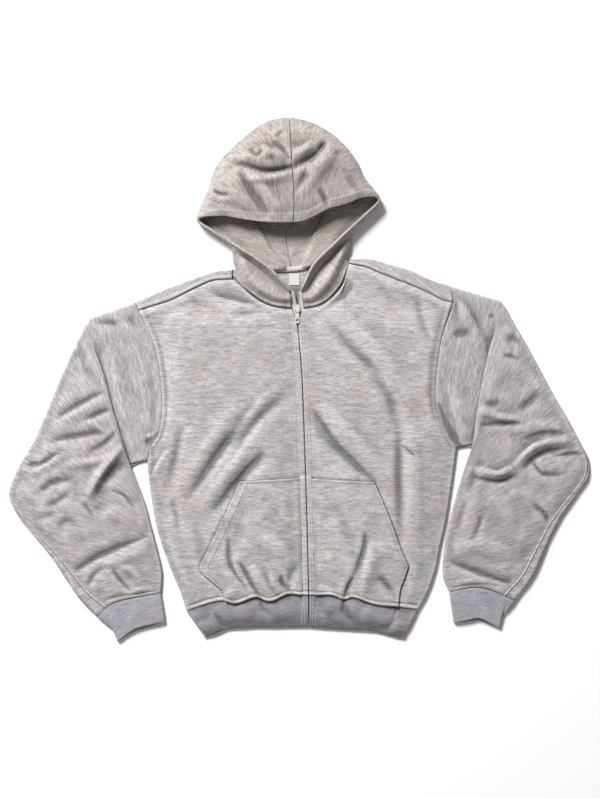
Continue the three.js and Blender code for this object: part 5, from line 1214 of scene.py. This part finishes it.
def cuffPanel(side, topRow, underRow):
    end = line(sleeves[side]["cuffEnd"])
    over, below = Path(topRow), Path(underRow)
    rise = (level["band"] - level["bandBack"]) / 2
    cell = ribs["pitch"] / ribs["samples"]
    overShares = np.linspace(0.004, 0.996, int(over.length / cell))
    belowShares = np.linspace(0.004, 0.996, int(below.length / cell))
    full = tubeLength(end.length, rise)
    columns, distances = [], []
    for isOver, shares in ((True, overShares), (False, belowShares)):
        for share in shares:
            begin = over.at(share) if isOver else below.at(share)
            distance = share * full if isOver else -(1 - share) * full
            along, up = tubePoint(np.array(distance), end.length, rise)
            stop = end.at(along / end.length).copy()
            stop[2] = level["bandBack"] + rise + float(up)
            down = stop - begin
            down[2] = 0
            if isOver:
                gape = math.sin(math.pi * share) ** 1.3
                stop -= down / np.linalg.norm(down) * 4.2 * gape
                stop[2] += 1.2 * gape
            begin = begin + down / np.linalg.norm(down) * cloth["seam"] * 1.4
            begin[2] = max(level["bandBack"], begin[2])
            columns.append((begin, stop))
            distances.append(distance if isOver else full + share * full)
    shares = graded(1.0, [0, 0.02, 0.045, 0.08, 0.12], 0.07, [0, 0.015, 0.04, 0.08])
    begin = np.array([c[0] for c in columns])[:, None]
    stop = np.array([c[1] for c in columns])[:, None]
    points = mix(begin, stop, shares[None, :, None])
    top = points[..., 2] > level["bandBack"] + rise
    swell = 0.9 * np.sin(np.pi * shares) + rumple(points[..., 0], points[..., 1], 0.3, 21, 20, 60)
    points[..., 2] += np.where(top, swell * ease(0, 1.5, points[..., 2] - level["bandBack"] - rise), 0)
    raised = ribRaise(np.array(distances))[:, None] * ease(0, 0.05, shares) * ease(0, 0.03, 1 - shares)
    raised = np.where(top, raised, np.minimum(raised, 0.2))
    height = np.linalg.norm(columns[0][0] - columns[0][1])
    grain = np.stack(np.broadcast_arrays(np.array(distances)[:, None], shares * height), -1)
    return points, grain, raised


def waistbandPanel(hemEdges, backEdge):
    rise = (level["band"] - level["bandBack"]) / 2
    middle = level["bandBack"] + rise
    cell = ribs["pitch"] / ribs["samples"]
    columns = []

    def push(top, stop, z, hemLevel=None):
        drop = stop - top
        drop[2] = 0
        top = top + drop / np.linalg.norm(drop) * cloth["seam"] * 1.4
        columns.append(((top[0], top[1], z if hemLevel is None else hemLevel), (stop[0], stop[1], z)))

    def frontPart(side):
        hem = Path(hemEdges[side] * (1, 1, 0))
        high = Path(hemEdges[side])
        shares = np.linspace(0, 1 - 2.2 / hem.length, int(hem.length / cell))
        own = high.at(shares)[:, 2] - 0.7
        return hem, line(outline[side]["bandEnd"]), list(zip(shares, mix(own, level["band"], ease(0.93, 1, shares))))

    def pushTurn(side, order):
        hem, end, _ = frontPart(side)
        for degrees in order:
            turn = math.radians(degrees)
            inward = rise * (1 - math.cos(turn))
            push(hem.at(1 - inward / hem.length), end.at(1 - inward / end.length), middle + rise * math.sin(turn))

    hem, end, shares = frontPart("right")
    for share, hemLevel in shares:
        push(hem.at(share), end.at(share), level["band"], hemLevel)
    pushTurn("right", [75, 50, 25, 0, -25, -50, -75])
    backHemLine, backEnd = Path(backEdge * (1, 1, 0)), line(bandBackEnd)
    for share in np.linspace(0.012, 0.988, int(backEnd.length / cell)):
        push(backHemLine.at(share), backEnd.at(share), level["bandBack"])
    pushTurn("left", [-75, -50, -25, 0, 25, 50, 75])
    hem, end, shares = frontPart("left")
    for share, hemLevel in shares[::-1]:
        push(hem.at(share), end.at(share), level["band"], hemLevel)
    ends = np.array(columns)
    shares = graded(1.0, [0, 0.02, 0.045, 0.08, 0.12], 0.07, [0, 0.015, 0.04, 0.08])
    points = mix(ends[:, None, 0], ends[:, None, 1], shares[None, :, None])
    fall = mix(ends[:, 0, 2][:, None], ends[:, 1, 2][:, None], ease(0, 0.7, shares))
    onTop = ease(middle + 1, level["band"], ends[:, 1, 2])[:, None]
    swell = 0.8 * np.sin(np.pi * shares) + rumple(points[..., 0], points[..., 1], 0.6, 22, 24, 80)
    swell = swell + foldField(folds["band"], points[..., 0], points[..., 1])
    points[..., 2] = fall + onTop * (np.maximum(swell, -1.6) - 2.2 * ease(0.5, 1, shares))
    points[..., 2] = np.maximum(points[..., 2], level["bandBack"])
    middleRow = points[:, len(shares) // 2]
    distance = np.concatenate([[0], np.cumsum(np.linalg.norm(np.diff(middleRow, axis=0), axis=-1))])
    raised = ribRaise(distance)[:, None] * ease(0, 0.05, shares) * ease(0, 0.03, 1 - shares)
    raised = np.where(onTop > 0.5, raised, np.minimum(raised, 0.2))
    grain = np.stack(np.broadcast_arrays(distance[:, None], shares * 55.0), -1)
    # Painted shade on the band: a shadow under the body's hem, and darker towards the band's lower edge
    shade = onTop * (0.6 * bell(shares * 55, 5) + 0.36 + 0.6 * ease(0.15, 1, shares))
    return points, grain, raised, shade


# Inside the mouth the sides of the hood lie in a fold over its back, along these lines
hoodInside = {
    "right": {"points": [(-105, 305), (-73, 261), (-48, 218), (-26, 193), (-20, 180)], "hand": -1},
    "left": {"points": [(52, 312), (37, 275), (21, 241), (12, 213), (3, 190)], "hand": 1},
}
faceHem = {"width": 17.0, "thick": 3.4, "roll": 2.4}


def hoodPanel(side):
    own = folds["hoodRight" if side == "right" else "hoodLeft"]
    net = []
    for row in np.array(hoodRows[side], float).reshape(-1, 5, 3):
        face, dip, roll, fold, end = row
        if end[2] > 2:
            dip[2], roll[2] = dip[2] - 2.5, roll[2] + 2
        if face[2] > 28:
            face[2], dip[2], roll[2] = face[2] - 5, dip[2] - 5, roll[2] - 3
        flat = end[2] < 2
        gap = np.linalg.norm(fold - end)
        under = mix(fold, end, min(0.4, 7 / gap) if flat else 0.34)
        middle = mix(fold, end, 0.55 if flat else 0.67)
        if flat:
            under[2] = middle[2] = level["back"]
        net.append([face, dip, roll, fold, under, middle, end])
    acrossPlaces = np.concatenate([[0, 0.03, 0.06, 0.1, 0.15, 0.21, 0.28], np.linspace(0.34, 3.1, 86), np.linspace(3.16, 5.7, 46), [5.78, 5.86, 5.93, 6]])
    lines = np.stack([spline(np.array(row), acrossPlaces) for row in net])
    alongPlaces = np.concatenate([[0, 0.03, 0.07, 0.12], np.linspace(0.2, 8.4, 72), np.linspace(8.45, 13.9, 104),
                                  [13.94, 13.97, 14]])
    p = spline(lines, alongPlaces)
    straight = np.array([np.interp(alongPlaces, range(15), lines[:, -1, c]) for c in range(3)]).T
    blend = ease(5.6, 6, acrossPlaces)[None, :, None]
    p = mix(p, straight[:, None, :], blend ** 3)
    x, y, z = p[..., 0], p[..., 1], p[..., 2]
    crown = ease(14, 26, z)
    z = z + crown * (1.2 * foldField(own, x, y) + rumple(x, y, 1.0, 31, 40, 110))
    inside = hoodInside[side]
    beside = besideLine(inside["points"], x, y) * inside["hand"]
    outerFold = p[:, np.argmin(np.abs(acrossPlaces - 3))][:, None, :2]
    beyondFold = np.linalg.norm(p[..., :2] - outerFold, axis=-1)
    lower = ease(3.0, 3.4, acrossPlaces)[None] * ease(6, 3, z) * ease(318, 290, y)
    z = z + 7.0 * lower * ease(-2.5, 2.5, beside) * ease(4, 45, beyondFold) * ease(90, 30, beside)
    p[..., 2] = np.maximum(level["back"], z)
    fromFace = np.cumsum(np.linalg.norm(np.diff(p, axis=1, prepend=p[:, :1]), axis=-1), axis=1)
    toSeam = fromFace[:, -1:] - fromFace
    onFront = ease(4.2, 3.2, alongPlaces)[:, None]
    raised = 0.9 * ease(faceHem["width"] + 1.2, faceHem["width"] - 0.6, fromFace)
    raised = raised - 0.6 * bell(fromFace - faceHem["width"] + 0.6, 0.9) + onFront * 1.9 * bell(toSeam - 2.8, 2.0)
    thick = mix(cloth["fleece"], faceHem["thick"], ease(faceHem["width"] + 2, faceHem["width"], fromFace))
    roll = np.sqrt(np.maximum(0, 1 - (1 - clamp(fromFace / faceHem["roll"])) ** 2))
    thick = thick * (0.4 + 0.6 * roll)
    raised = raised * clamp(roll * 1.2)
    alongI = np.cumsum(np.linalg.norm(np.diff(p, axis=0, prepend=p[:1]), axis=-1), axis=0)
    grain = np.stack([fromFace, np.broadcast_to(alongI[:, 12][:, None], fromFace.shape)], -1)
    tight = np.zeros(fromFace.shape, bool)
    tight[alongPlaces > 6.3, -1] = True
    # Painted shade: darker on the high crown, more toward its top, and inside the mouth under the crown
    shade = 0.36 * ease(240, 300, y) * ease(12, 24, z) + 0.26 * ease(3.0, 3.3, acrossPlaces)[None]
    shade = shade + 0.12 * ease(340, 400, y) * ease(12, 24, z)
    return p, grain, thick, raised, tight, shade


def zipTapePanel(side):
    sign = -1 if side == "right" else 1
    straight = line(zipLine)
    z = level["tape"]
    openEdge = ([(-3.6, 80, z), (-4.6, 101, 3), (-7.4, 117, 4), (-10, 135, 6), (-13.2, 147, 8.6)] if side == "right"
                else [(-3.6, 80, z), (-2.9, 101, 3), (-1.8, 117, 4), (-1.2, 135, 6), (-1.6, 147, 8.4)])
    low = straight.at(np.linspace(0, 1, 120))
    low[:, 2] = z
    high = line(openEdge).at(np.linspace(0, 1, 30))[1:]
    run = np.concatenate([low, high])
    opening = np.concatenate([np.zeros(len(low)), ease(0, 0.45, np.linspace(0, 1, 30)[1:])])
    start = mix(cloth["seam"] / 2, -1.5, opening)
    shares = np.array([0, 0.12, 0.3, 0.55, 0.8, 1.0])
    p = np.repeat(run[None], len(shares), 0)
    p[..., 0] += sign * (start[None] + shares[:, None] * mix(9, 11.5, opening)[None])
    along = Path(run).along
    grain = np.stack(np.broadcast_arrays(shares[:, None] * 9, along[None]), -1)
    return p, grain, run, start


# The teeth: moulded blocks along a tape's inner edge, the two sides half a pitch apart
tooth = {"pitch": 2.6, "along": 1.5, "reach": 1.5, "back": 1.2, "height": 1.9}


def zipTeeth(side, run, start):
    sign = -1 if side == "right" else 1
    edge = run.copy()
    edge[:, 0] += sign * start
    path = Path(edge)
    places = np.arange(tooth["pitch"] * (0.5 if side == "right" else 1.0), path.length - 1, tooth["pitch"])
    spots = path.at(places / path.length)
    ahead = path.at((places + 0.5) / path.length) - spots
    ahead[:, 2] = 0
    ahead /= np.linalg.norm(ahead, axis=1, keepdims=True)
    inward = np.stack([ahead[:, 1], -ahead[:, 0], 0 * places], -1) * (1 if side == "right" else -1)
    corners = []
    for lift, shrink in ((-0.5, 1), (0.5, 0.72)):
        for a, b in ((-1, -1), (1, -1), (1, 1), (-1, 1)):
            along = 0.5 * tooth["along"] * shrink * a
            reach = tooth["reach"] * shrink if b > 0 else -tooth["back"]
            corners.append(spots + ahead * along + inward * reach + (0, 0, lift * tooth["height"]))
    corners = np.stack(corners, 1).reshape(-1, 3)
    block = np.array([(0, 3, 2, 1), (4, 5, 6, 7), (0, 1, 5, 4), (1, 2, 6, 5), (2, 3, 7, 6), (3, 0, 4, 7)])
    if side == "right":
        block = block[:, ::-1]
    faces = (block[None] + 8 * np.arange(len(spots))[:, None, None]).reshape(-1, 4)
    return ride(buildMesh("zipTeeth_" + side, corners, faces, None, finish["teeth"], smooth=False), "tape")


slider = {"x": -5.5, "y": 119.0, "base": 3.6, "top": 7.3, "axisY": 115.6, "axisZ": 8.9, "lugAt": 3.95, "lugThick": 1.1}
puller = {"thick": 1.4, "hole": 2.2, "holeAt": -16.6, "barrel": 1.3, "wide": 6.4}


def rounded(points, turns=3):
    p = np.array(points, float)
    for _ in range(turns):
        ahead = np.roll(p, -1, axis=0)
        p = np.stack([0.75 * p + 0.25 * ahead, 0.25 * p + 0.75 * ahead], 1).reshape(-1, 2)
    return p


# A plate with chamfers on a rounded outline, laid flat or stood on edge along X
def plate(points, low, high, chamfer, hole=0.0, holeAt=(0.0, 0.0), upright=False):
    at = np.array(holeAt) if hole else points.mean(0)
    reach = points - at
    reach /= np.linalg.norm(reach, axis=1, keepdims=True)
    radius = max(hole, 0.01)
    rim = chamfer if hole else 0.0
    inset = points - reach * chamfer
    bore, wideBore = at + reach * radius, at + reach * (radius + rim)
    rings = [(inset, low), (points, low + chamfer), (points, high - chamfer), (inset, high),
             (wideBore, high), (bore, high - rim), (bore, low + rim), (wideBore, low)]
    corners = np.concatenate([np.column_stack([ring, np.full(len(ring), z)]) for ring, z in rings])
    if upright:
        corners = corners[:, [2, 0, 1]]
    n = len(points)
    k = np.arange(n)
    faces = [np.stack([r * n + k, r * n + (k + 1) % n, (r + 1) % 8 * n + (k + 1) % n, (r + 1) % 8 * n + k], -1)
             for r in range(8)]
    return corners, np.concatenate(faces)


def joined(name, parts, place, material):
    corners, faces, count = [], [], 0
    for own, quads in parts:
        corners.append(own + place)
        faces.append(quads + count)
        count += len(own)
    return buildMesh(name, np.concatenate(corners), np.concatenate(faces), None, material, smooth=False)


def circle(radius, count=24):
    angle = 2 * math.pi * np.arange(count) / count
    return np.column_stack([np.cos(angle), np.sin(angle)]) * radius


def makeSlider():
    shield = rounded([(-2.6, -6.5), (2.6, -6.5), (4.1, -2.5), (4.5, 2.5), (3.0, 6.5), (-3.0, 6.5), (-4.5, 2.5), (-4.1, -2.5)])
    side = rounded([(-0.5, -3.4), (0.5, -3.4), (0.5, 3.4), (-0.5, 3.4)], 2)
    axisY, axisZ = slider["axisY"] - slider["y"], slider["axisZ"]
    lug = rounded([(axisY - 2.4, slider["top"] - 0.8), (axisY + 2.8, slider["top"] - 0.8), (axisY + 1.7, axisZ + 1.9),
                   (axisY - 1.7, axisZ + 1.9)], 2)
    parts = [plate(shield, slider["base"], slider["base"] + 1.0, 0.25), plate(shield, slider["top"] - 1.1, slider["top"], 0.35),
             plate(rounded([(-0.9, 2.6), (0.9, 2.6), (0.9, 5.8), (-0.9, 5.8)], 2), slider["base"] + 0.8, slider["top"] - 0.9, 0.05)]
    for sign in (-1, 1):
        parts.append(plate(side + (sign * 3.7, -2.6), slider["base"] + 0.8, slider["top"] - 0.9, 0.05))
        low = sign * slider["lugAt"] - slider["lugThick"] / 2
        parts.append(plate(lug, low, low + slider["lugThick"], 0.2, upright=True))
    obj = joined("zipSliderBody", parts, (slider["x"], slider["y"], 0), finish["zinc"])
    return ride(obj, "zip_metal", "zip_slider")


# The pull hangs on its barrel, so that it turns between the two lugs
def makePull():
    half = puller["wide"] / 2
    tab = rounded([(-2.4, -3.2), (2.4, -3.2), (3.1, -6.5), (4.0, -13.5), (4.0, -20.5), (2.6, -22.2), (-2.6, -22.2),
                   (-4.0, -20.5), (-4.0, -13.5), (-3.1, -6.5)], 2)
    raisedRim = rounded([(-2.2, -7.5), (2.2, -7.5), (2.7, -12.6), (-2.7, -12.6)], 2)
    neck = rounded([(-half, -5.0), (half, -5.0), (half, -0.1), (-half, -0.1)], 1)
    middle = puller["thick"] / 2
    parts = [plate(circle(puller["barrel"]), -half, half, 0.2, upright=True), plate(neck, -middle, middle, 0.25),
             plate(tab, -middle, middle, 0.35, puller["hole"], (0.0, puller["holeAt"])),
             plate(raisedRim, middle - 0.1, middle + 0.25, 0.15)]
    obj = joined("zipPullTab", parts, (slider["x"], slider["axisY"], slider["axisZ"]), finish["zinc"])
    return ride(obj, "zip_metal", "zip_pull", body="zip_pull")


# A narrow tape sewn over the neck seam, rolled into a low ridge
def neckBinding():
    run = line([(-58, 185), (-15, 185.5), (10, 189)])
    spots = run.at(np.linspace(0, 1, 44))
    across = np.linspace(-1, 1, 13)
    p = np.repeat(spots[:, None], 13, 1)
    p[..., 1] += across * 4.6
    p[..., 2] = 2.9 + 3.0 * np.sqrt(np.maximum(0, 1 - across**2))
    grain = np.stack(np.broadcast_arrays(run.along[-1] * np.linspace(0, 1, 44)[:, None], across * 5.0), -1)
    return wall("neckBinding", p, cloth["trim"], grain, finish["binding"])


sides = ("right", "left")
panels = {}


def faceUp(side, points):
    return points if side == "right" else points[::-1]


def keep(name, made, slot, *nodes):
    ride(made["obj"], slot, *nodes)
    panels[name] = made
    return made


backGrid, backGrain, backActive = backPanel()
# Painted shadow on the back's inside, seen through the open zip between the collars
shadowBehindZip = bell(backGrid[..., 0] + 7, 11) * ease(80, 110, backGrid[..., 1]) * ease(172, 150, backGrid[..., 1])
keep("back", wall("backPanel", backGrid, cloth["fleece"], backGrain, finish["fleece"],
                  active=backActive, shade=1.1 * shadowBehindZip), "fleece", "back")
hemEdges = {}
for side in sides:
    grid, grain, shade = frontPanel(side)
    hemEdges[side] = grid[:, 0]
    keep("front_" + side, wall("frontPanel_" + side, faceUp(side, grid[::-1]), cloth["fleece"],
                               faceUp(side, grain[::-1]), finish["fleece"], shade=faceUp(side, shade[::-1])),
         "fleece", "front_" + side)
    grid, grain, thick = pocketPanel(side)
    keep("pocket_" + side, wall("pocketHalf_" + side, faceUp(side, grid[::-1]), faceUp(side, thick[::-1]),
                                faceUp(side, grain[::-1]), finish["fleece"]), "fleece", "pocket_" + side)
    print("front and pocket made, " + side)
    top, topGrain, topRow, shade = sleeveTopPanel(side)
    keep("sleeve_top_" + side, wall("sleeveTop_" + side, faceUp(side, top), cloth["fleece"], faceUp(side, topGrain),
                                    finish["head"], shade=faceUp(side, shade)), "fleece", "sleeve_%s_top" % side)
    under, underGrain, underRow = sleeveUnderPanel(side)
    keep("sleeve_under_" + side, wall("sleeveUnder_" + side, faceUp(side, under), cloth["fleece"],
                                      faceUp(side, underGrain), finish["head"]), "fleece", "sleeve_%s_under" % side)
    band, bandGrain, raised = cuffPanel(side, topRow, underRow)
    keep("cuff_" + side, wall("ribCuff_" + side, faceUp(side, band), cloth["rib"], faceUp(side, bandGrain),
                              finish["rib"], closed=True, raised=faceUp(side, raised)), "rib", "cuff_" + side)
    hood, hoodGrain, thick, raised, tight, shade = hoodPanel(side)
    keep("hood_" + side, wall("hoodHalf_" + side, faceUp(side, hood), faceUp(side, thick), faceUp(side, hoodGrain),
                              finish["hood"], raised=faceUp(side, raised), shade=faceUp(side, shade),
                              tight=faceUp(side, tight)), "fleece", "hood_" + side)
    tape, tapeGrain, tapeRun, tapeStart = zipTapePanel(side)
    keep("tape_" + side, wall("zipTape_" + side, faceUp(side, tape[::-1]), cloth["trim"],
                              faceUp(side, tapeGrain[::-1]), finish["tape"]), "tape", "zip_tape_" + side)
    zipTeeth(side, tapeRun, tapeStart)
    print("sleeve, cuff and hood made, " + side)
band, bandGrain, raised, shade = waistbandPanel(hemEdges, backGrid[:, 0])
keep("waistband", wall("ribWaistband", band, cloth["rib"], bandGrain, finish["rib"], raised=raised, shade=shade),
     "rib", "waistband")
print("waistband made")

makeSlider()
makePull()
keep("neck_tape", neckBinding(), "tape", "neck_tape")
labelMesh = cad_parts["neck_label"].data
labelMesh.materials.clear()
labelMesh.materials.append(finish["label"])

# Spans and distances are given from the panel's own edges, in the order its points were laid
def mirrored(side, edge):
    return edge if side == "right" else {"i0": "i1", "i1": "i0"}.get(edge, edge)


def reversedSpan(side, span):
    return span if side == "right" else (1 - span[1], 1 - span[0])


for side in sides:
    cut = outline[side]
    front, pocket = panels["front_" + side], panels["pocket_" + side]
    underarm = line(cut["side"]).length / line(cut["side"], cut["armhole"]).length
    abovePocket = (368 - 160) / (368 + 118)
    lines = [insetLine(front, mirrored(side, "i1"), placket["rows"][0], (0.01, 0.98)),
             insetLine(front, mirrored(side, "i1"), placket["rows"][1], (abovePocket, 0.97)),
             insetLine(front, mirrored(side, "i0"), 3.4, (underarm + 0.01, 0.99))]
    stitchRow(lines, "frontStitches_" + side)
    slantFrom = line(cut["pocketOuter"]).length / line(cut["pocketOuter"], cut["pocketSlant"]).length
    lines = [insetLine(pocket, mirrored(side, "i0"), 15.8, (slantFrom, 1)),
             insetLine(pocket, mirrored(side, "i0"), 21.2, (slantFrom, 1)),
             insetLine(pocket, mirrored(side, "i1"), 1.6),
             insetLine(pocket, "j1", 3.2, reversedSpan(side, (0.2, 1)))]
    stitchRow(lines, "pocketStitches_" + side)
    sleeve = panels["sleeve_top_" + side]
    lines = [insetLine(sleeve, "j0", d, reversedSpan(side, (0.62, 0.995))) for d in (2.2, 7.4)]
    stitchRow(lines, "sleeveStitches_" + side)
    lines = [insetLine(panels["hood_" + side], "j0", faceHem["width"] - 0.6, (0.01, 0.99))]
    stitchRow(lines, "hoodStitches_" + side, thread="shadedThread")
lines = [insetLine(panels["waistband"], edge, row, (0.05, 0.95)) for edge in ("i0", "i1") for row in placket["rows"]]
stitchRow(lines, "bandStitches", slot="rib")
print("stitches made")

declare(panels["back"])
for side in sides:
    declare(panels["front_" + side])
    declare(panels["pocket_" + side])
    declare(panels["sleeve_under_" + side])
    declare(panels["sleeve_top_" + side])
    declare(panels["cuff_" + side])
    declare(panels["hood_" + side])
    declare(panels["tape_" + side])
declare(panels["neck_tape"])
declare(panels["waistband"])


# The stage: a pale floor, a large soft light from the top left and a weak fill
def makeStage():
    bpy.ops.mesh.primitive_plane_add(size=12, location=(0, 0, -0.0006))
    floor = bpy.context.object
    floor.name = "stageFloor"
    material, _, _ = newMaterial("paleFloor", {"Base Color": toLinear("#fefefe"), "Roughness": 0.95})
    floor.data.materials.append(material)
    world = bpy.data.worlds.new("softRoom")
    bpy.context.scene.world = world
    world.use_nodes = True
    world.node_tree.nodes["Background"].inputs["Color"].default_value = (1.0, 0.95, 0.91, 1)
    world.node_tree.nodes["Background"].inputs["Strength"].default_value = 0.14
    for name, place, size, power in (("key", (-1.7, 2.75, 2.65), 1.5, 322), ("fill", (-0.6, -3.4, 2.6), 3.0, 26)):
        light = bpy.data.lights.new(name, "AREA")
        light.size = size
        light.energy = power
        lamp = bpy.data.objects.new(name, light)
        lamp.location = place
        direction = -np.array(place)
        lamp.rotation_mode = "QUATERNION"
        from mathutils import Vector
        lamp.rotation_quaternion = Vector(direction).to_track_quat("-Z", "Y")
        bpy.context.scene.collection.objects.link(lamp)
    bpy.context.scene.view_settings.view_transform = "Standard"


view = {"pixel": 1.7, "width": 600, "height": 798, "centreX": -0.85, "centreY": -34.9, "distance": 3400.0}


def makeCamera():
    data = bpy.data.cameras.new("camera")
    tall = view["height"] * view["pixel"]
    data.sensor_width = 36
    data.lens = 36 * view["distance"] / tall
    camera = bpy.data.objects.new("camera", data)
    camera.location = ((view["centreX"] + centre[0]) * mm, (view["centreY"] + centre[1]) * mm, view["distance"] * mm)
    bpy.context.scene.collection.objects.link(camera)
    bpy.context.scene.camera = camera


makeStage()
makeCamera()
print("scene ready")
